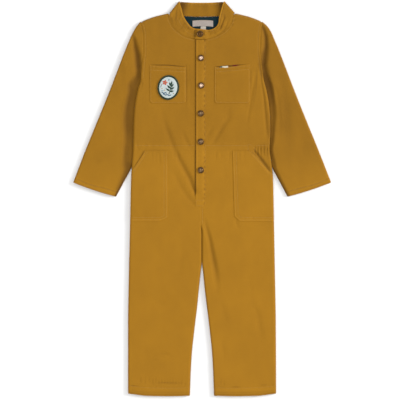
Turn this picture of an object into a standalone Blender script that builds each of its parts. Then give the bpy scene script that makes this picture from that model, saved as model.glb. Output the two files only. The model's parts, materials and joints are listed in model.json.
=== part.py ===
"""A child's needlecord jumpsuit, laid flat with its front up.

X runs to the right as seen from above, Y towards the collar and Z up from the surface that it lies on.
The origin is on that surface, under the middle of the outline. Sizes are in millimetres and become
metres where the meshes are made. "right" and "left" are the wearer's, so the right half has negative X.
"""
from collections import namedtuple
from math import cos, radians, sin

import bmesh
import bpy
import numpy as np

# --- Driving dimensions, in millimetres --------------------------------------------------------
WALL = 2.0  # one layer of needlecord
TRIM_WALL = 1.5  # a pocket or the placket
GAP = 0.3  # between pieces at a seam
HEIGHT = 7.4  # the front panels' top above the surface
ROLL = 4.5  # how far in from a folded edge the cloth reaches its full height
SEAM_Z = WALL + GAP  # where the front panels' folded edges meet the back
UNDERSIDE_INSET = 1.2  # the back's lower edge turns in this far
ARM_GAP = 0.8  # between the body's side and the sleeve that lies beside it
ARMHOLE_GAP = 0.55  # between the curved edges at the armhole seam
VALLEY_ROLL = 18.0  # how far out a sleeve takes to rise from the body's side

WAIST_Y = 115.2
UNDERARM_Y = 285.5
CENTRE_X = -1.8  # centre-front seam
UNDERLAP_X = 9.5  # the right front runs under the placket this far

NECK_Y = 434.75  # centre of the neckline's half ellipse
NECK_WIDE = 75.9
NECK_DEEP = 58.75

PLACKET_LEFT, PLACKET_RIGHT = -14.7, 10.0
PLACKET_TOP, PLACKET_BOTTOM = 375.4, -16.7
SNAP_RADIUS, SNAP_HEIGHT = 7.5, 2.0
SNAPS = [(-3.9, 388.9), (-1.8, 332.5), (-1.3, 267.9), (-2.2, 202.1), (-2.2, 135.6), (-2.2, 68.9)]

BADGE_AT, BADGE_WIDE, BADGE_TALL, BADGE_TURN = (-79.3, 262.6), 25.8, 29.4, -8.0

# --- The outline: x of the wearer's right and left edge at each height ----------------------------
Side = namedtuple("Side", "y right left")
SIDES = [
    Side(417.0, -145.1, 143.5),  # shoulder point
    Side(394.0, -138.1, 138.6),
    Side(351.0, -136.9, 137.5),
    Side(316.0, -140.4, 141.0),
    Side(285.5, -142.8, 145.0),  # underarm
    Side(257.0, -151.0, 152.5),
    Side(222.0, -157.2, 158.6),
    Side(190.0, -160.2, 161.4),
    Side(163.0, -160.9, 162.0),
    Side(120.0, -161.6, 160.2),
    Side(81.0, -164.4, 164.6),
    Side(48.0, -166.2, 167.6),
    Side(-40.0, -168.2, 169.6),
    Side(-170.0, -171.2, 172.0),
    Side(-290.0, -173.2, 174.1),
    Side(-462.0, -173.3, 174.9),
]
INSEAMS = [
    Side(116.0, -1.8, -1.8),
    Side(-60.0, -1.8, -1.8),  # the legs' fronts part here
    Side(-78.0, 0.3, 0.3),
    Side(-144.0, 0.3, 0.3),  # the gap between the legs opens here
    Side(-172.0, -2.8, 3.3),
    Side(-209.0, -6.6, 6.7),
    Side(-247.0, -10.3, 11.4),
    Side(-303.0, -16.9, 18.2),
    Side(-360.0, -23.1, 24.2),
    Side(-397.0, -25.5, 26.4),
    Side(-462.0, -28.0, 28.8),
]
Shoulder = namedtuple("Shoulder", "across y")
SHOULDER = [Shoulder(80, 437.2), Shoulder(91, 434.8), Shoulder(110, 430.0), Shoulder(124, 425.2),
            Shoulder(146, 416.0)]
Hem = namedtuple("Hem", "share y")  # from the side seam to the inseam
HEM = [Hem(0.0, -456.5), Hem(0.3, -461.4), Hem(0.7, -462.3), Hem(1.0, -461.2)]
SleeveEdge = namedtuple("SleeveEdge", "y right left")  # how far out each sleeve's outer edge is
SLEEVE_EDGE = [
    SleeveEdge(417.0, 144.6, 145.0),
    SleeveEdge(406.5, 153.2, 155.9),
    SleeveEdge(392.5, 161.7, 164.4),
    SleeveEdge(378.0, 168.6, 170.2),
    SleeveEdge(354.9, 178.4, 179.8),
    SleeveEdge(260.0, 214.8, 216.4),
    SleeveEdge(200.0, 239.0, 240.2),
    SleeveEdge(110.0, 275.6, 276.8),
    SleeveEdge(40.0, 302.2, 304.2),
]
SLEEVE_LEAVES_BODY_Y = 74.7
CUFF_INNER = (201.6, 6.7)  # how far out and how high the cuff's inner corner is
Ring = namedtuple("Ring", "outer_y inner_y")  # where each ring of a sleeve meets its two edges
SLEEVE_RINGS = [Ring(417.0, 285.5), Ring(411.5, 283), Ring(405.5, 280.5), Ring(399, 277.5), Ring(392.5, 274.5),
                Ring(385.5, 270.5), Ring(378, 266.5), Ring(366.5, 259), Ring(355, 250), Ring(333, 234),
                Ring(310, 216), Ring(262, 180), Ring(210, 143), Ring(160, 104), Ring(117, 68), Ring(80, 38),
                Ring(40.0, 6.7)]
CAP_RINGS = 8  # the rings that still follow the armhole's curve

# --- Folds: points along each, with how deep and how wide the cloth sinks there ---------------------
FoldPoint = namedtuple("FoldPoint", "x y depth width")
BODY_FOLDS = [
    [FoldPoint(-77, 158, 0, 5), FoldPoint(-51, 116, 1.2, 6), FoldPoint(-19, 27, 2.2, 6), FoldPoint(-14, 10, 0, 5)],
    [FoldPoint(50, 165, 0, 4), FoldPoint(41, 148, 1.2, 5), FoldPoint(30, 128, 0, 4)],
    [FoldPoint(6, -52, 0, 5), FoldPoint(20, -92, 1.7, 6), FoldPoint(33, -137, 2.2, 8), FoldPoint(35, -190, 0, 8)],
    [FoldPoint(77, -52, 0, 4), FoldPoint(83, -60, 0.8, 4), FoldPoint(89, -74, 0, 4)],
]
GATHER_XS = [125.1, 131.0, 138.3, 145.8, 153.4]  # short gathers at the left end of the waist seam
GATHER_DEPTH, GATHER_WIDTH, GATHER_FLAT, GATHER_RUN = 0.9, 2.2, 5.0, 17.0
GATHER_CREST = 3.5  # from a gather to the crest beside it
SLEEVE_FOLDS = {
    "right": [FoldPoint(-161, 386, 0, 4), FoldPoint(-149, 357, 2.2, 6), FoldPoint(-143.5, 318, 2.2, 6),
              FoldPoint(-151, 272, 1.8, 6), FoldPoint(-158, 222, 0, 6)],
    "left": [FoldPoint(146, 404, 0, 4), FoldPoint(153, 376, 2.0, 5), FoldPoint(149, 344, 2.2, 6),
             FoldPoint(144, 312, 2.2, 7), FoldPoint(154, 276, 1.8, 7), FoldPoint(166, 235, 0, 6)],
}

# --- Collar: the neckline's angle, and where the band's free edge lies there ---------------------------
Band = namedtuple("Band", "angle x y")
COLLAR_FRONT = [
    Band(-90, -50.9, 459.0), Band(-78, -46.8, 446.6), Band(-66, -44.1, 435.0), Band(-54, -39.5, 425.0),
    Band(-42, -32.5, 414.6), Band(-30, -25.0, 406.2), Band(-18, -16.0, 401.8), Band(-6, -6.0, 400.6),
    Band(8.2, 7.6, 399.4), Band(18, 15.6, 398.4), Band(30, 26.6, 401.2), Band(42, 35.0, 407.6),
    Band(54, 39.2, 415.4), Band(66, 40.6, 427.4), Band(78, 43.7, 440.0), Band(90, 48.6, 457.5),
]
FOLD_BASE = {"right": (-75.7, 438.5), "left": (77.8, 438.5)}
FOLD_TOP = {"right": (-53.5, 466.2), "left": (53.5, 466.2)}
FOLD_TURNS = (60, 30, 0, -30, -60, -90)  # round the right fold, from the front to the back
BACK_BASE = (-73.0, 75.3)  # behind the neck: from and to which x the base runs, and the free edge
BACK_TOP = (-50.1, 50.1)
BACK_TOP_Y, BACK_TOP_DIP = 464.7, 2.0
RIGHT_END_ANGLE = 8.2
LAP_ANGLE = -10.7  # the left end laps over the right one as far as this
LAP_LIFT = WALL + GAP
LAP_STARTS = 0.2  # the band's first small rise, just short of the lap

NECK_ANGLES = [90, 78, 66, 54, 42, 30, 18]
FRONT_ENDS = {"right": 8.56, "left": 8.95}  # the angles where the fronts meet under the placket
BACK_NECK_Y, BACK_NECK_RISE, BACK_NECK_WIDE = 430.0, 5.9, 77.3

COLOURS = {
    "corduroy": (0.43, 0.20, 0.020), "lining": (0.012, 0.045, 0.055), "label": (0.72, 0.69, 0.60),
    "tab": (0.80, 0.78, 0.72), "lining_print": (0.25, 0.30, 0.36), "badge": (0.62, 0.72, 0.66),
    "metal": (0.42, 0.36, 0.24),
}


# --- Curves -----------------------------------------------------------------------------------
def smooth(at, places, values):
    """A curve through the values at the places: cubic stretches that never swing past the values."""
    order = np.argsort(places)
    places = np.asarray(places, float)[order]
    values = np.asarray(values, float)[order]
    rise = np.diff(values) / np.diff(places)
    same_way = rise[:-1] * rise[1:] > 0
    total = np.where(same_way, rise[:-1] + rise[1:], 1)
    slopes = np.concatenate([rise[:1], np.where(same_way, 2 * rise[:-1] * rise[1:] / total, 0), rise[-1:]])
    at = np.clip(at, places[0], places[-1])
    i = np.clip(np.searchsorted(places, at) - 1, 0, len(places) - 2)
    span = places[i + 1] - places[i]
    t = (at - places[i]) / span
    return ((2 * t**3 - 3 * t**2 + 1) * values[i] + (t**3 - 2 * t**2 + t) * span * slopes[i]
            + (3 * t**2 - 2 * t**3) * values[i + 1] + (t**3 - t**2) * span * slopes[i + 1])


def side_x(side, y):
    return smooth(y, [row.y for row in SIDES], [getattr(row, side) for row in SIDES])


def inseam_x(side, y):
    away = -GAP / 2 if side == "right" else GAP / 2
    return smooth(y, [row.y for row in INSEAMS], [getattr(row, side) for row in INSEAMS]) + away


def shoulder_y(x):
    return smooth(np.abs(x), [row.across for row in SHOULDER], [row.y for row in SHOULDER])


def neck_point(angle, inset=0.0):
    """On the front neckline: angle 0 is the centre front and 90 the left shoulder."""
    a = radians(angle)
    return CENTRE_X + (NECK_WIDE - inset) * sin(a), NECK_Y - (NECK_DEEP - inset) * cos(a)


def back_neck_y(x):
    return BACK_NECK_Y + BACK_NECK_RISE * (x / BACK_NECK_WIDE) ** 2


def sink(x, y, folds):
    """How far the folds press the cloth down at each point."""
    deepest = np.zeros(np.broadcast(x, y).shape)
    for fold in folds:
        for a, b in zip(fold, fold[1:]):
            run_x, run_y = b.x - a.x, b.y - a.y
            t = np.clip(((x - a.x) * run_x + (y - a.y) * run_y) / (run_x**2 + run_y**2), 0, 1)
            away = np.hypot(x - a.x - t * run_x, y - a.y - t * run_y)
            depth = a.depth + t * (b.depth - a.depth)
            width = a.width + t * (b.width - a.width)
            deepest = np.maximum(deepest, depth * np.exp(-((away / width) ** 2)))
    return deepest


def gathers():
    """Each gather is a short fold across the waist seam, fading out above and below."""
    return [[FoldPoint(x, WAIST_Y + GATHER_RUN, 0, GATHER_WIDTH),
             FoldPoint(x, WAIST_Y + GATHER_FLAT, GATHER_DEPTH, GATHER_WIDTH),
             FoldPoint(x, WAIST_Y - GATHER_FLAT, GATHER_DEPTH, GATHER_WIDTH),
             FoldPoint(x + 1, WAIST_Y - GATHER_RUN, 0, GATHER_WIDTH)] for x in GATHER_XS]


def gather_columns():
    """A column in each gather's trough and one on each crest beside it, from the side inwards."""
    columns = [x + d for x in GATHER_XS for d in (-GATHER_CREST, 0)] + [GATHER_XS[-1] + GATHER_CREST]
    return sorted(columns, reverse=True)


# --- Meshes -----------------------------------------------------------------------------------
def material(slot):
    found = bpy.data.materials.get(slot) or bpy.data.materials.new(slot)
    found.use_nodes = True
    shader = found.node_tree.nodes["Principled BSDF"]
    shader.inputs["Base Color"].default_value = (*COLOURS[slot], 1)
    shader.inputs["Roughness"].default_value = 0.35 if slot == "metal" else 0.9
    shader.inputs["Metallic"].default_value = 1.0 if slot == "metal" else 0.0
    return found


def add_object(name, points, faces, slot):
    mesh = bpy.data.meshes.new(name)
    mesh.from_pydata([tuple(0.001 * float(c) for c in p) for p in points], [], faces)
    work = bmesh.new()
    work.from_mesh(mesh)
    bmesh.ops.recalc_face_normals(work, faces=work.faces)
    work.to_mesh(mesh)
    work.free()
    mesh.shade_smooth()
    mesh.set_sharp_from_angle(angle=radians(40))
    mesh.materials.append(material(slot))
    made = bpy.data.objects.new(name, mesh)
    bpy.context.collection.objects.link(made)
    return made


def wall(name, outside, inside, slot, ring=False):
    """A closed wall between two grids of points, rows by columns; a ring joins its last column to its first."""
    rows, columns = outside.shape[:2]
    points = np.concatenate([outside.reshape(-1, 3), inside.reshape(-1, 3)])
    shift = rows * columns
    faces = []
    for r in range(rows - 1):
        for c in range(columns if ring else columns - 1):
            d = (c + 1) % columns
            quad = (r * columns + c, r * columns + d, (r + 1) * columns + d, (r + 1) * columns + c)
            faces.append(quad)
            faces.append(tuple(shift + i for i in reversed(quad)))
    rims = [[r * columns + c for c in range(columns)] for r in (0, rows - 1)]
    if ring:
        rims = [rim + rim[:1] for rim in rims]
    else:
        rims += [[r * columns + c for r in range(rows)] for c in (0, columns - 1)]
    for rim in rims:
        faces += [(a, b, shift + b, shift + a) for a, b in zip(rim, rim[1:])]
    return add_object(name, points, faces, slot)


def slab(name, xs, ys, low, thick, slot):
    """A flat wall over a grid of x and y, from low up."""
    top, under = (np.dstack([xs, ys, np.full(xs.shape, z)]) for z in (low + thick, low))
    return wall(name, top, under, slot)


# --- Front panels ---------------------------------------------------------------------------------
Column = namedtuple("Column", "share side_turn inner_turn")  # in degrees: 0 at the folded edge, 90 where flat
SIDE_COLUMNS = [Column(0, turn, 90) for turn in (0, 35, 60, 90)]
INSEAM_COLUMNS = [Column(1, 90, turn) for turn in (90, 55, 0)]


def front_panel(name, columns, side, heights, inner_at, drops, folds, centre_roll=ROLL, fade=1):
    """Build a front panel, outer and inner face alike but for the inset of the inner one.

    heights(inset) gives y for each row and column, inner_at the centre edge's x at a height, and drops how far
    the side and centre edges roll down in each row and how much of its height each point keeps at the top edge.
    A fade over 1 keeps the side edge's bends out of the middle.
    """
    grids = []
    share = np.array([c.share for c in columns])[None, :]
    side_turn = np.radians([c.side_turn for c in columns])[None, :]
    inner_turn = np.radians([c.inner_turn for c in columns])[None, :]
    toward = 1 if side == "right" else -1
    edge_y, inner_y = heights(0.0)[:, :1], heights(0.0)[:, -1:]
    side_drop, inner_drop, top_fall = drops(edge_y, inner_y)
    for inset in (0.0, WALL):
        y = heights(inset)
        roll_in = ROLL * (1 - np.cos(side_turn)) + inset * side_drop * np.cos(side_turn)
        inner_roll = centre_roll * (1 - np.cos(inner_turn)) + inset * inner_drop * np.cos(inner_turn)
        start = side_x(side, edge_y) + toward * roll_in
        end = inner_at(inner_y) - toward * inner_roll
        straight = start[-1:] + (end[-1:] - start[-1:]) * share
        x = straight + (start - start[-1:]) * (1 - share) ** fade + (end - end[-1:]) * share**fade
        rise = (1 - side_drop * (1 - np.sin(side_turn))) * (1 - inner_drop * (1 - np.sin(inner_turn))) * top_fall
        z = SEAM_Z + (HEIGHT - inset - SEAM_Z - sink(x, y, folds)) * rise
        grids.append(np.dstack([x, y, z]))
    return wall(name, grids[0], grids[1], "corduroy")


def ease(value, start, end):
    """0 before start, 1 past end and a smooth step between them."""
    t = np.clip((value - start) / (end - start), 0, 1)
    return t * t * (3 - 2 * t)


def side_roll(y):
    """The side edge rolls down below the underarm; above it the sleeve joins at full height."""
    return ease(y, UNDERARM_Y + 4, UNDERARM_Y - 14)


TOP_TURNS = (90, 60, 35, 0)
SHOULDER_COLUMNS = (128, 110, 94, 81.5)
BODICE_ROWS = [0, 0.014, 0.03, 0.055, 0.09, 0.15, 0.25, 0.38, 0.5, 0.56, 0.63, 0.71, 0.79, 0.87, 0.94]


def bodice_front(side):
    sign = -1 if side == "right" else 1
    centre = UNDERLAP_X if side == "right" else UNDERLAP_X + GAP
    neck_angles = [sign * a for a in NECK_ANGLES] + ([-6] if side == "right" else []) + [FRONT_ENDS[side]]
    tops = [sign * x for x in SHOULDER_COLUMNS] + [neck_point(a)[0] for a in neck_angles]
    tops[len(SHOULDER_COLUMNS)] += sign * GAP
    tops[-1] = centre
    shoulder_x = side_x(side, 417.0)
    start = shoulder_x - sign * ROLL
    shares = [(x - start) / (centre - start) for x in tops]
    if side == "left":
        at_waist = side_x(side, WAIST_Y) - ROLL
        shares = sorted(shares + [(x - at_waist) / (centre - at_waist) for x in gather_columns()])
    columns = SIDE_COLUMNS + [Column(share, 90, 90) for share in shares]
    tops = np.array([shoulder_x] * len(SIDE_COLUMNS) + [start + (centre - start) * share for share in shares])
    on_shoulder = np.abs(tops) > SHOULDER[0].across
    angle = np.arcsin(np.clip((tops - CENTRE_X) / NECK_WIDE, -1, 1))
    top_y = np.where(on_shoulder, shoulder_y(tops), NECK_Y - NECK_DEEP * np.cos(angle))
    row_share = np.array(BODICE_ROWS + [1] * len(TOP_TURNS))[:, None]
    top_turn = np.radians([90] * len(BODICE_ROWS) + list(TOP_TURNS))[:, None]

    def heights(inset):
        fall = ROLL * (1 - np.cos(top_turn)) + inset * on_shoulder * np.cos(top_turn)
        return np.where(row_share < 1, WAIST_Y + GAP / 2 + (top_y - ROLL - WAIST_Y) * row_share, top_y - fall)

    def drops(edge_y, inner_y):
        return side_roll(edge_y), 0 * edge_y, 1 - on_shoulder * (1 - np.sin(top_turn))

    front_panel(f"front_bodice_{side}", columns, side, heights, lambda y: np.full(y.shape, centre), drops,
                BODY_FOLDS + (gathers() if side == "left" else []), centre_roll=0, fade=3)


LEG_COLUMN_XS = {"right": [-130, -95, -75, -62, -52, -43, -35, -27, -20, -13],
                 "left": [105, 80, 60, 48, 41, 35, 29, 23, 17, 11]}
LEG_LEVELS = {  # heights of the rows, close together where a fold crosses them
    "right": [115, 104, 92, 80, 68, 56, 44, 32, 20, 8, -15, -40, -60, -68, -80, -112, -146, -175, -240,
              -310, -385, -460],
    "left": [115, 109, 98, 80, 56, 20, -15, -46, -60, -68, -80, -96, -112, -129, -146, -160, -180,
             -205, -250, -315, -385, -460],
}
LEGS_PART = (-56, -74)  # the inner edges roll down from the first of these heights to the second


def leg_front(side):
    sign = -1 if side == "right" else 1
    edge, centre = side_x(side, WAIST_Y) - sign * ROLL, CENTRE_X + sign * ROLL
    xs = LEG_COLUMN_XS[side]
    if side == "left":
        xs = sorted(xs + gather_columns(), reverse=True)
    shares = [(x - edge) / (centre - edge) for x in xs]
    columns = SIDE_COLUMNS + [Column(share, 90, 90) for share in shares] + INSEAM_COLUMNS
    share = np.array([c.share for c in columns])[None, :]
    level = np.array(LEG_LEVELS[side], float)[:, None]
    along = (level[0] - level) / (level[0] - level[-1])
    hem = smooth(share, [row.share for row in HEM], [row.y for row in HEM])

    def heights(_):
        return WAIST_Y - GAP / 2 + (hem - WAIST_Y) * along

    def drops(edge_y, inner_y):
        return np.ones_like(edge_y), ease(inner_y, *LEGS_PART), 1

    front_panel(f"front_leg_{side}", columns, side, heights, lambda y: inseam_x(side, y), drops,
                BODY_FOLDS + (gathers() if side == "left" else []))


# --- Back panels -------------------------------------------------------------------------------------
def back_panel(name, xs, ys):
    """A flat wall whose lower edge turns in a little all round."""
    inner_x, inner_y = xs.copy(), ys.copy()
    inner_x[:, 0] += UNDERSIDE_INSET * np.sign(xs[:, 1] - xs[:, 0])
    inner_x[:, -1] += UNDERSIDE_INSET * np.sign(xs[:, -2] - xs[:, -1])
    upper = np.dstack([xs, ys, np.full(xs.shape, WALL)])
    wall(name, upper, np.dstack([inner_x, inner_y, np.zeros(xs.shape)]), "corduroy")


def bodice_back():
    tops = [146, 128, 110, 94, 81.5, 80, 77.6, 66, 50, 32, 16]
    tops = np.array([-x for x in tops] + [0] + tops[::-1], float)
    tops[0], tops[-1] = side_x("right", 417.0), side_x("left", 417.0)
    top_y = np.where(np.abs(tops) >= 80, shoulder_y(tops), back_neck_y(tops) - GAP - 0.1)
    share = (tops - tops[0]) / (tops[-1] - tops[0])
    along = np.array([0, 0.1, 0.25, 0.4, 0.5, 0.56, 0.64, 0.75, 0.87, 1])[:, None]
    ys = WAIST_Y + GAP / 2 + (top_y - WAIST_Y - GAP / 2) * along
    left, right = side_x("right", ys[:, :1]), side_x("left", ys[:, -1:])
    back_panel("back_bodice", left + (right - left) * share, ys)


def leg_back(side):
    share = np.linspace(0, 1, 7)[None, :]
    levels = np.array([0, 0.06, 0.1, 0.2, 0.3, 0.33, 0.4, 0.5, 0.6, 0.8, 1])[:, None]
    hem = smooth(share, [row.share for row in HEM], [row.y for row in HEM])
    ys = WAIST_Y - GAP / 2 + (hem - WAIST_Y) * levels
    outer, inner = side_x(side, ys[:, :1]), inseam_x(side, ys[:, -1:])
    back_panel(f"back_leg_{side}", outer + (inner - outer) * share, ys)


# --- Sleeves ------------------------------------------------------------------------------------------
Around = namedtuple("Around", "share turn top")  # across from the body's side, turn as for a panel's column
SLEEVE_WIDEST_Z = 2.6
LOWER_ROLL = 2.5


def around_sleeve():
    shares = [0.04, 0.09, 0.15, 0.22, 0.3, 0.4, 0.5, 0.6, 0.72, 0.86]
    top = [Around(0, t, True) for t in (0, 30, 60, 90)] + [Around(s, 90, True) for s in shares]
    top += [Around(1, t, True) for t in (90, 60, 30)]
    bottom = [Around(1, t, False) for t in (0, 50, 90)] + [Around(s, 90, False) for s in (0.72, 0.5, 0.25)]
    return top + bottom + [Around(0, t, False) for t in (90, 50)]


def sleeve(side):
    sign = -1 if side == "right" else 1
    outer_y = np.array([ring.outer_y for ring in SLEEVE_RINGS])
    inner_y = np.array([ring.inner_y for ring in SLEEVE_RINGS])
    outer_x = sign * smooth(outer_y, [row.y for row in SLEEVE_EDGE], [getattr(row, side) for row in SLEEVE_EDGE])
    leaves_x = abs(side_x(side, SLEEVE_LEAVES_BODY_Y))
    free_x = np.interp(inner_y, [CUFF_INNER[1], SLEEVE_LEAVES_BODY_Y], [CUFF_INNER[0], leaves_x])
    beside_x = np.abs(side_x(side, inner_y))
    inner_x = sign * (np.where(inner_y > SLEEVE_LEAVES_BODY_Y, beside_x, free_x) + ARM_GAP)
    outer_x[0] += sign * ARMHOLE_GAP
    along = np.linspace(0, 1, len(SLEEVE_RINGS))
    valley = ease(inner_y, 280, 262) * ease(inner_y, 60, 110)
    inner_roll = ROLL + (VALLEY_ROLL - ROLL) * valley
    cap = np.clip(1 - along / along[CAP_RINGS], 0, 1) ** 1.5
    places = around_sleeve()
    grids = []
    for inset in (0.0, WALL):
        grid = np.zeros((len(SLEEVE_RINGS), len(places), 3))
        for i, spot in enumerate(places):
            turn = radians(spot.turn)
            spans = np.where(spot.share < 0.5, inner_roll, ROLL) if spot.top else np.full(len(along), LOWER_ROLL)
            roll_in = spans * (1 - cos(turn)) + inset * cos(turn)
            width = np.hypot(outer_x - inner_x, outer_y - inner_y)
            lead = (inner_roll if spot.top else LOWER_ROLL) / width
            tail = (ROLL if spot.top else LOWER_ROLL) / width
            flat_across = lead + (1 - lead - tail) * spot.share
            across = {0: roll_in / width, 1: 1 - roll_in / width}.get(spot.share, flat_across)
            x = inner_x + (outer_x - inner_x) * across
            y = inner_y + (outer_y - inner_y) * across
            armhole = side_x(side, y[0]) + sign * ARMHOLE_GAP
            x = x + (armhole - x[0]) * cap
            if spot.top:
                far = HEIGHT - inset - SLEEVE_WIDEST_Z - sink(x, y, [SLEEVE_FOLDS[side]])
            else:
                far = np.full(len(along), inset - SLEEVE_WIDEST_Z)
            grid[:, i] = np.column_stack([x, y, SLEEVE_WIDEST_Z + far * sin(turn)])
        grids.append(grid)
    wall(f"sleeve_{side}", grids[0], grids[1], "corduroy", ring=True)


# --- Collar -------------------------------------------------------------------------------------------
def collar():
    """The band, from its right end under the lap, round the back of the neck, to its left end on top."""
    base, top, outer_z, inner_z = [], [], [], []

    def add(base_at, top_at, outside, inside):
        base.append(base_at)
        top.append(top_at)
        outer_z.append(outside)
        inner_z.append(inside)

    def front(angles, lifts):
        for angle, lift in zip(angles, lifts):
            angles_of = [row.angle for row in COLLAR_FRONT]
            edge = [smooth(angle, angles_of, [getattr(row, way) for row in COLLAR_FRONT]) for way in "xy"]
            add(neck_point(angle, GAP), edge, HEIGHT + lift, HEIGHT - WALL + lift)

    def side_fold(side, turns):
        bottom, peak, _, inward = fold_frame(side)
        for turn in turns:
            shift = HEIGHT / 2 * (1 - cos(radians(turn)))
            tilt = sin(radians(turn))
            inside = HEIGHT / 2 + (HEIGHT / 2 - WALL) * tilt
            add(bottom + inward * shift, peak + inward * shift, HEIGHT / 2 * (1 + tilt), inside)

    front([RIGHT_END_ANGLE, -6] + [-a for a in NECK_ANGLES[::-1]], [0] * 9)
    side_fold("right", FOLD_TURNS)
    for share in np.linspace(0, 1, 11)[1:-1]:
        x_base, x_top = (a + (b - a) * share for a, b in (BACK_BASE, BACK_TOP))
        dip = BACK_TOP_DIP * (1 - (2 * share - 1) ** 2)
        add((x_base, back_neck_y(x_base)), (x_top, BACK_TOP_Y - dip), 0.0, WALL)
    side_fold("left", FOLD_TURNS[::-1])
    front(NECK_ANGLES + [13, FRONT_ENDS["left"], -1, LAP_ANGLE], [0] * 7 + [LAP_STARTS] + [LAP_LIFT] * 3)

    base, top = np.array(base, float), np.array(top, float)
    grids = []
    for z in (outer_z, inner_z):
        grid = np.zeros((len(base), 4, 3))
        for i, share in enumerate((0, 0.33, 0.67, 1)):
            grid[:, i, :2] = base + (top - base) * share
            grid[:, i, 2] = z
        grids.append(grid)
    for side in ("right", "left"):
        tuck_fold(grids[1], base, side)
    wall("collar", grids[0], grids[1], "corduroy")


def fold_frame(side):
    """The side fold's lower and upper end, the way along it and the way into the collar."""
    bottom, peak = np.array(FOLD_BASE[side]), np.array(FOLD_TOP[side])
    along = (peak - bottom) / np.linalg.norm(peak - bottom)
    return bottom, peak, along, np.array([along[1], -along[0]]) * (1 if side == "right" else -1)


def tuck_fold(inside, base, side):
    """Where the band folds over at its side, the inner face turns on a smaller radius than the outer one."""
    bottom, _, along, inward = fold_frame(side)
    for row in range(len(inside)):
        shift = (base[row] - bottom) @ inward
        on_fold = abs((base[row] - bottom) @ along) < 0.01 and shift < HEIGHT / 2 + 0.01
        if on_fold:
            turn = 1 - shift / (HEIGHT / 2)
            inside[row, :, :2] += inward * WALL * turn


# --- What lies on the panels ------------------------------------------------------------------------------
def placket():
    xs = np.linspace(PLACKET_LEFT, PLACKET_RIGHT, 4)[None, :]
    ys = np.linspace(PLACKET_TOP, PLACKET_BOTTOM, 9)[:, None]
    slab("placket", xs + 0 * ys, ys + 0 * xs, HEIGHT + GAP, TRIM_WALL, "corduroy")


Patch = namedtuple("Patch", "side_edge centre_edge mouth_side mouth_centre bottom")
CHEST_POCKETS = {
    "right": Patch(-121.6, -37.0, 317.0, 312.5, 226.0),
    "left": Patch(113.4, 30.0, 318.3, 312.5, 226.0),
}
POCKET_CORNER = 4.0


def chest_pocket(side):
    patch = CHEST_POCKETS[side]
    share = np.linspace(0, 1, 7)[None, :]
    mouth = patch.mouth_side + (patch.mouth_centre - patch.mouth_side) * share
    corner = POCKET_CORNER * ((share < 0.01) | (share > 0.99))
    down = np.linspace(0, 1, 5)[:, None]
    ys = mouth + (patch.bottom + corner - mouth) * down
    xs = patch.side_edge + (patch.centre_edge - patch.side_edge) * share + 0 * down
    slab(f"chest_pocket_{side}", xs, ys, HEIGHT + GAP, TRIM_WALL, "corduroy")


PEEP_LEFT, PEEP_RIGHT, PEEP_TALL, PEEP_WALL = 35.0, 90.0, 3.4, 1.0


def pocket_lining():
    patch = CHEST_POCKETS["left"]
    xs = np.linspace(PEEP_LEFT, PEEP_RIGHT, 7)[None, :]
    slope = (patch.mouth_side - patch.mouth_centre) / (patch.side_edge - patch.centre_edge)
    mouth = patch.mouth_centre + (xs - patch.centre_edge) * slope + GAP
    rise = PEEP_TALL * np.array([0.0, 1.0])[:, None]
    slab("pocket_lining", xs + 0 * rise, mouth + rise, HEIGHT + GAP, PEEP_WALL, "lining_print")


HipPocket = namedtuple("HipPocket", "top_x inner_top inner_bottom mouth_end bottom chamfer_x chamfer_y")
HIP_POCKETS = {
    "right": HipPocket(-135.7, -80.0, -80.0, 66.0, -50.5, -96.5, 8.0),
    "left": HipPocket(120.4, 72.3, 77.0, 59.0, -50.9, 89.0, 12.0),
}


def hip_pocket(side):
    """A patch from its slanted mouth to its bottom; its outer columns follow the leg's rolled side."""
    sign = -1 if side == "right" else 1
    patch = HIP_POCKETS[side]
    at_side = side_x(side, patch.mouth_end)
    mouth_slope = (WAIST_Y - patch.mouth_end) / (patch.top_x - at_side)
    spans = [(0, 45), (0, 65), (0, 90)] + [(s, 90) for s in (0.12, 0.25, 0.4, 0.6)]
    chamfer_share = (patch.chamfer_x - at_side) / (patch.inner_bottom - at_side)
    spans += [(chamfer_share, 90), (1, 90)]
    down = np.array([0, 0.08, 0.18, 0.3, 0.5, 0.75, 1])
    grids = []
    for lift in (GAP + TRIM_WALL, GAP):
        grid = np.zeros((len(down), len(spans), 3))
        for i, (share, turn) in enumerate(spans):
            t = radians(turn)
            shift = sign * (lift * cos(t) - ROLL * (1 - cos(t)))
            start = side_x(side, np.array([patch.mouth_end, patch.bottom])) + shift
            inner = np.array([patch.inner_top, patch.inner_bottom])
            ends = start + (inner - start) * share
            mouth = min(WAIST_Y - GAP, patch.mouth_end + (ends[0] - at_side) * mouth_slope)
            bottom = patch.bottom + (patch.chamfer_y if share == 1 else 0)
            y = mouth + (bottom - mouth) * down
            edge = side_x(side, y) + shift
            lean = (patch.inner_bottom - patch.inner_top) / (WAIST_Y - patch.bottom)
            x = edge + (patch.inner_top + lean * (WAIST_Y - y) - edge) * share
            z = SEAM_Z + (HEIGHT - SEAM_Z) * sin(t) + lift * sin(t)
            grid[:, i] = np.column_stack([x, y, np.full(len(y), z)])
        grids.append(grid)
    wall(f"hip_pocket_{side}", grids[0], grids[1], "corduroy")


NECK_LINING_WIDE, NECK_LINING_DEEP, NECK_LINING_WALL = 68.0, 54.0, 1.0
NECK_LINING_DOWN, NECK_LINING_LEAST = 1.0, 2.0  # below the back's neckline, and its least depth at the ends
LABEL_AT, LABEL_WIDE, LABEL_TALL, LABEL_WALL = (2.4, 413.6), 50.0, 16.0, 0.8
TAB_AT, TAB_WIDE, TAB_TALL = (2.4, 401.0), 13.0, 8.0


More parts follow.
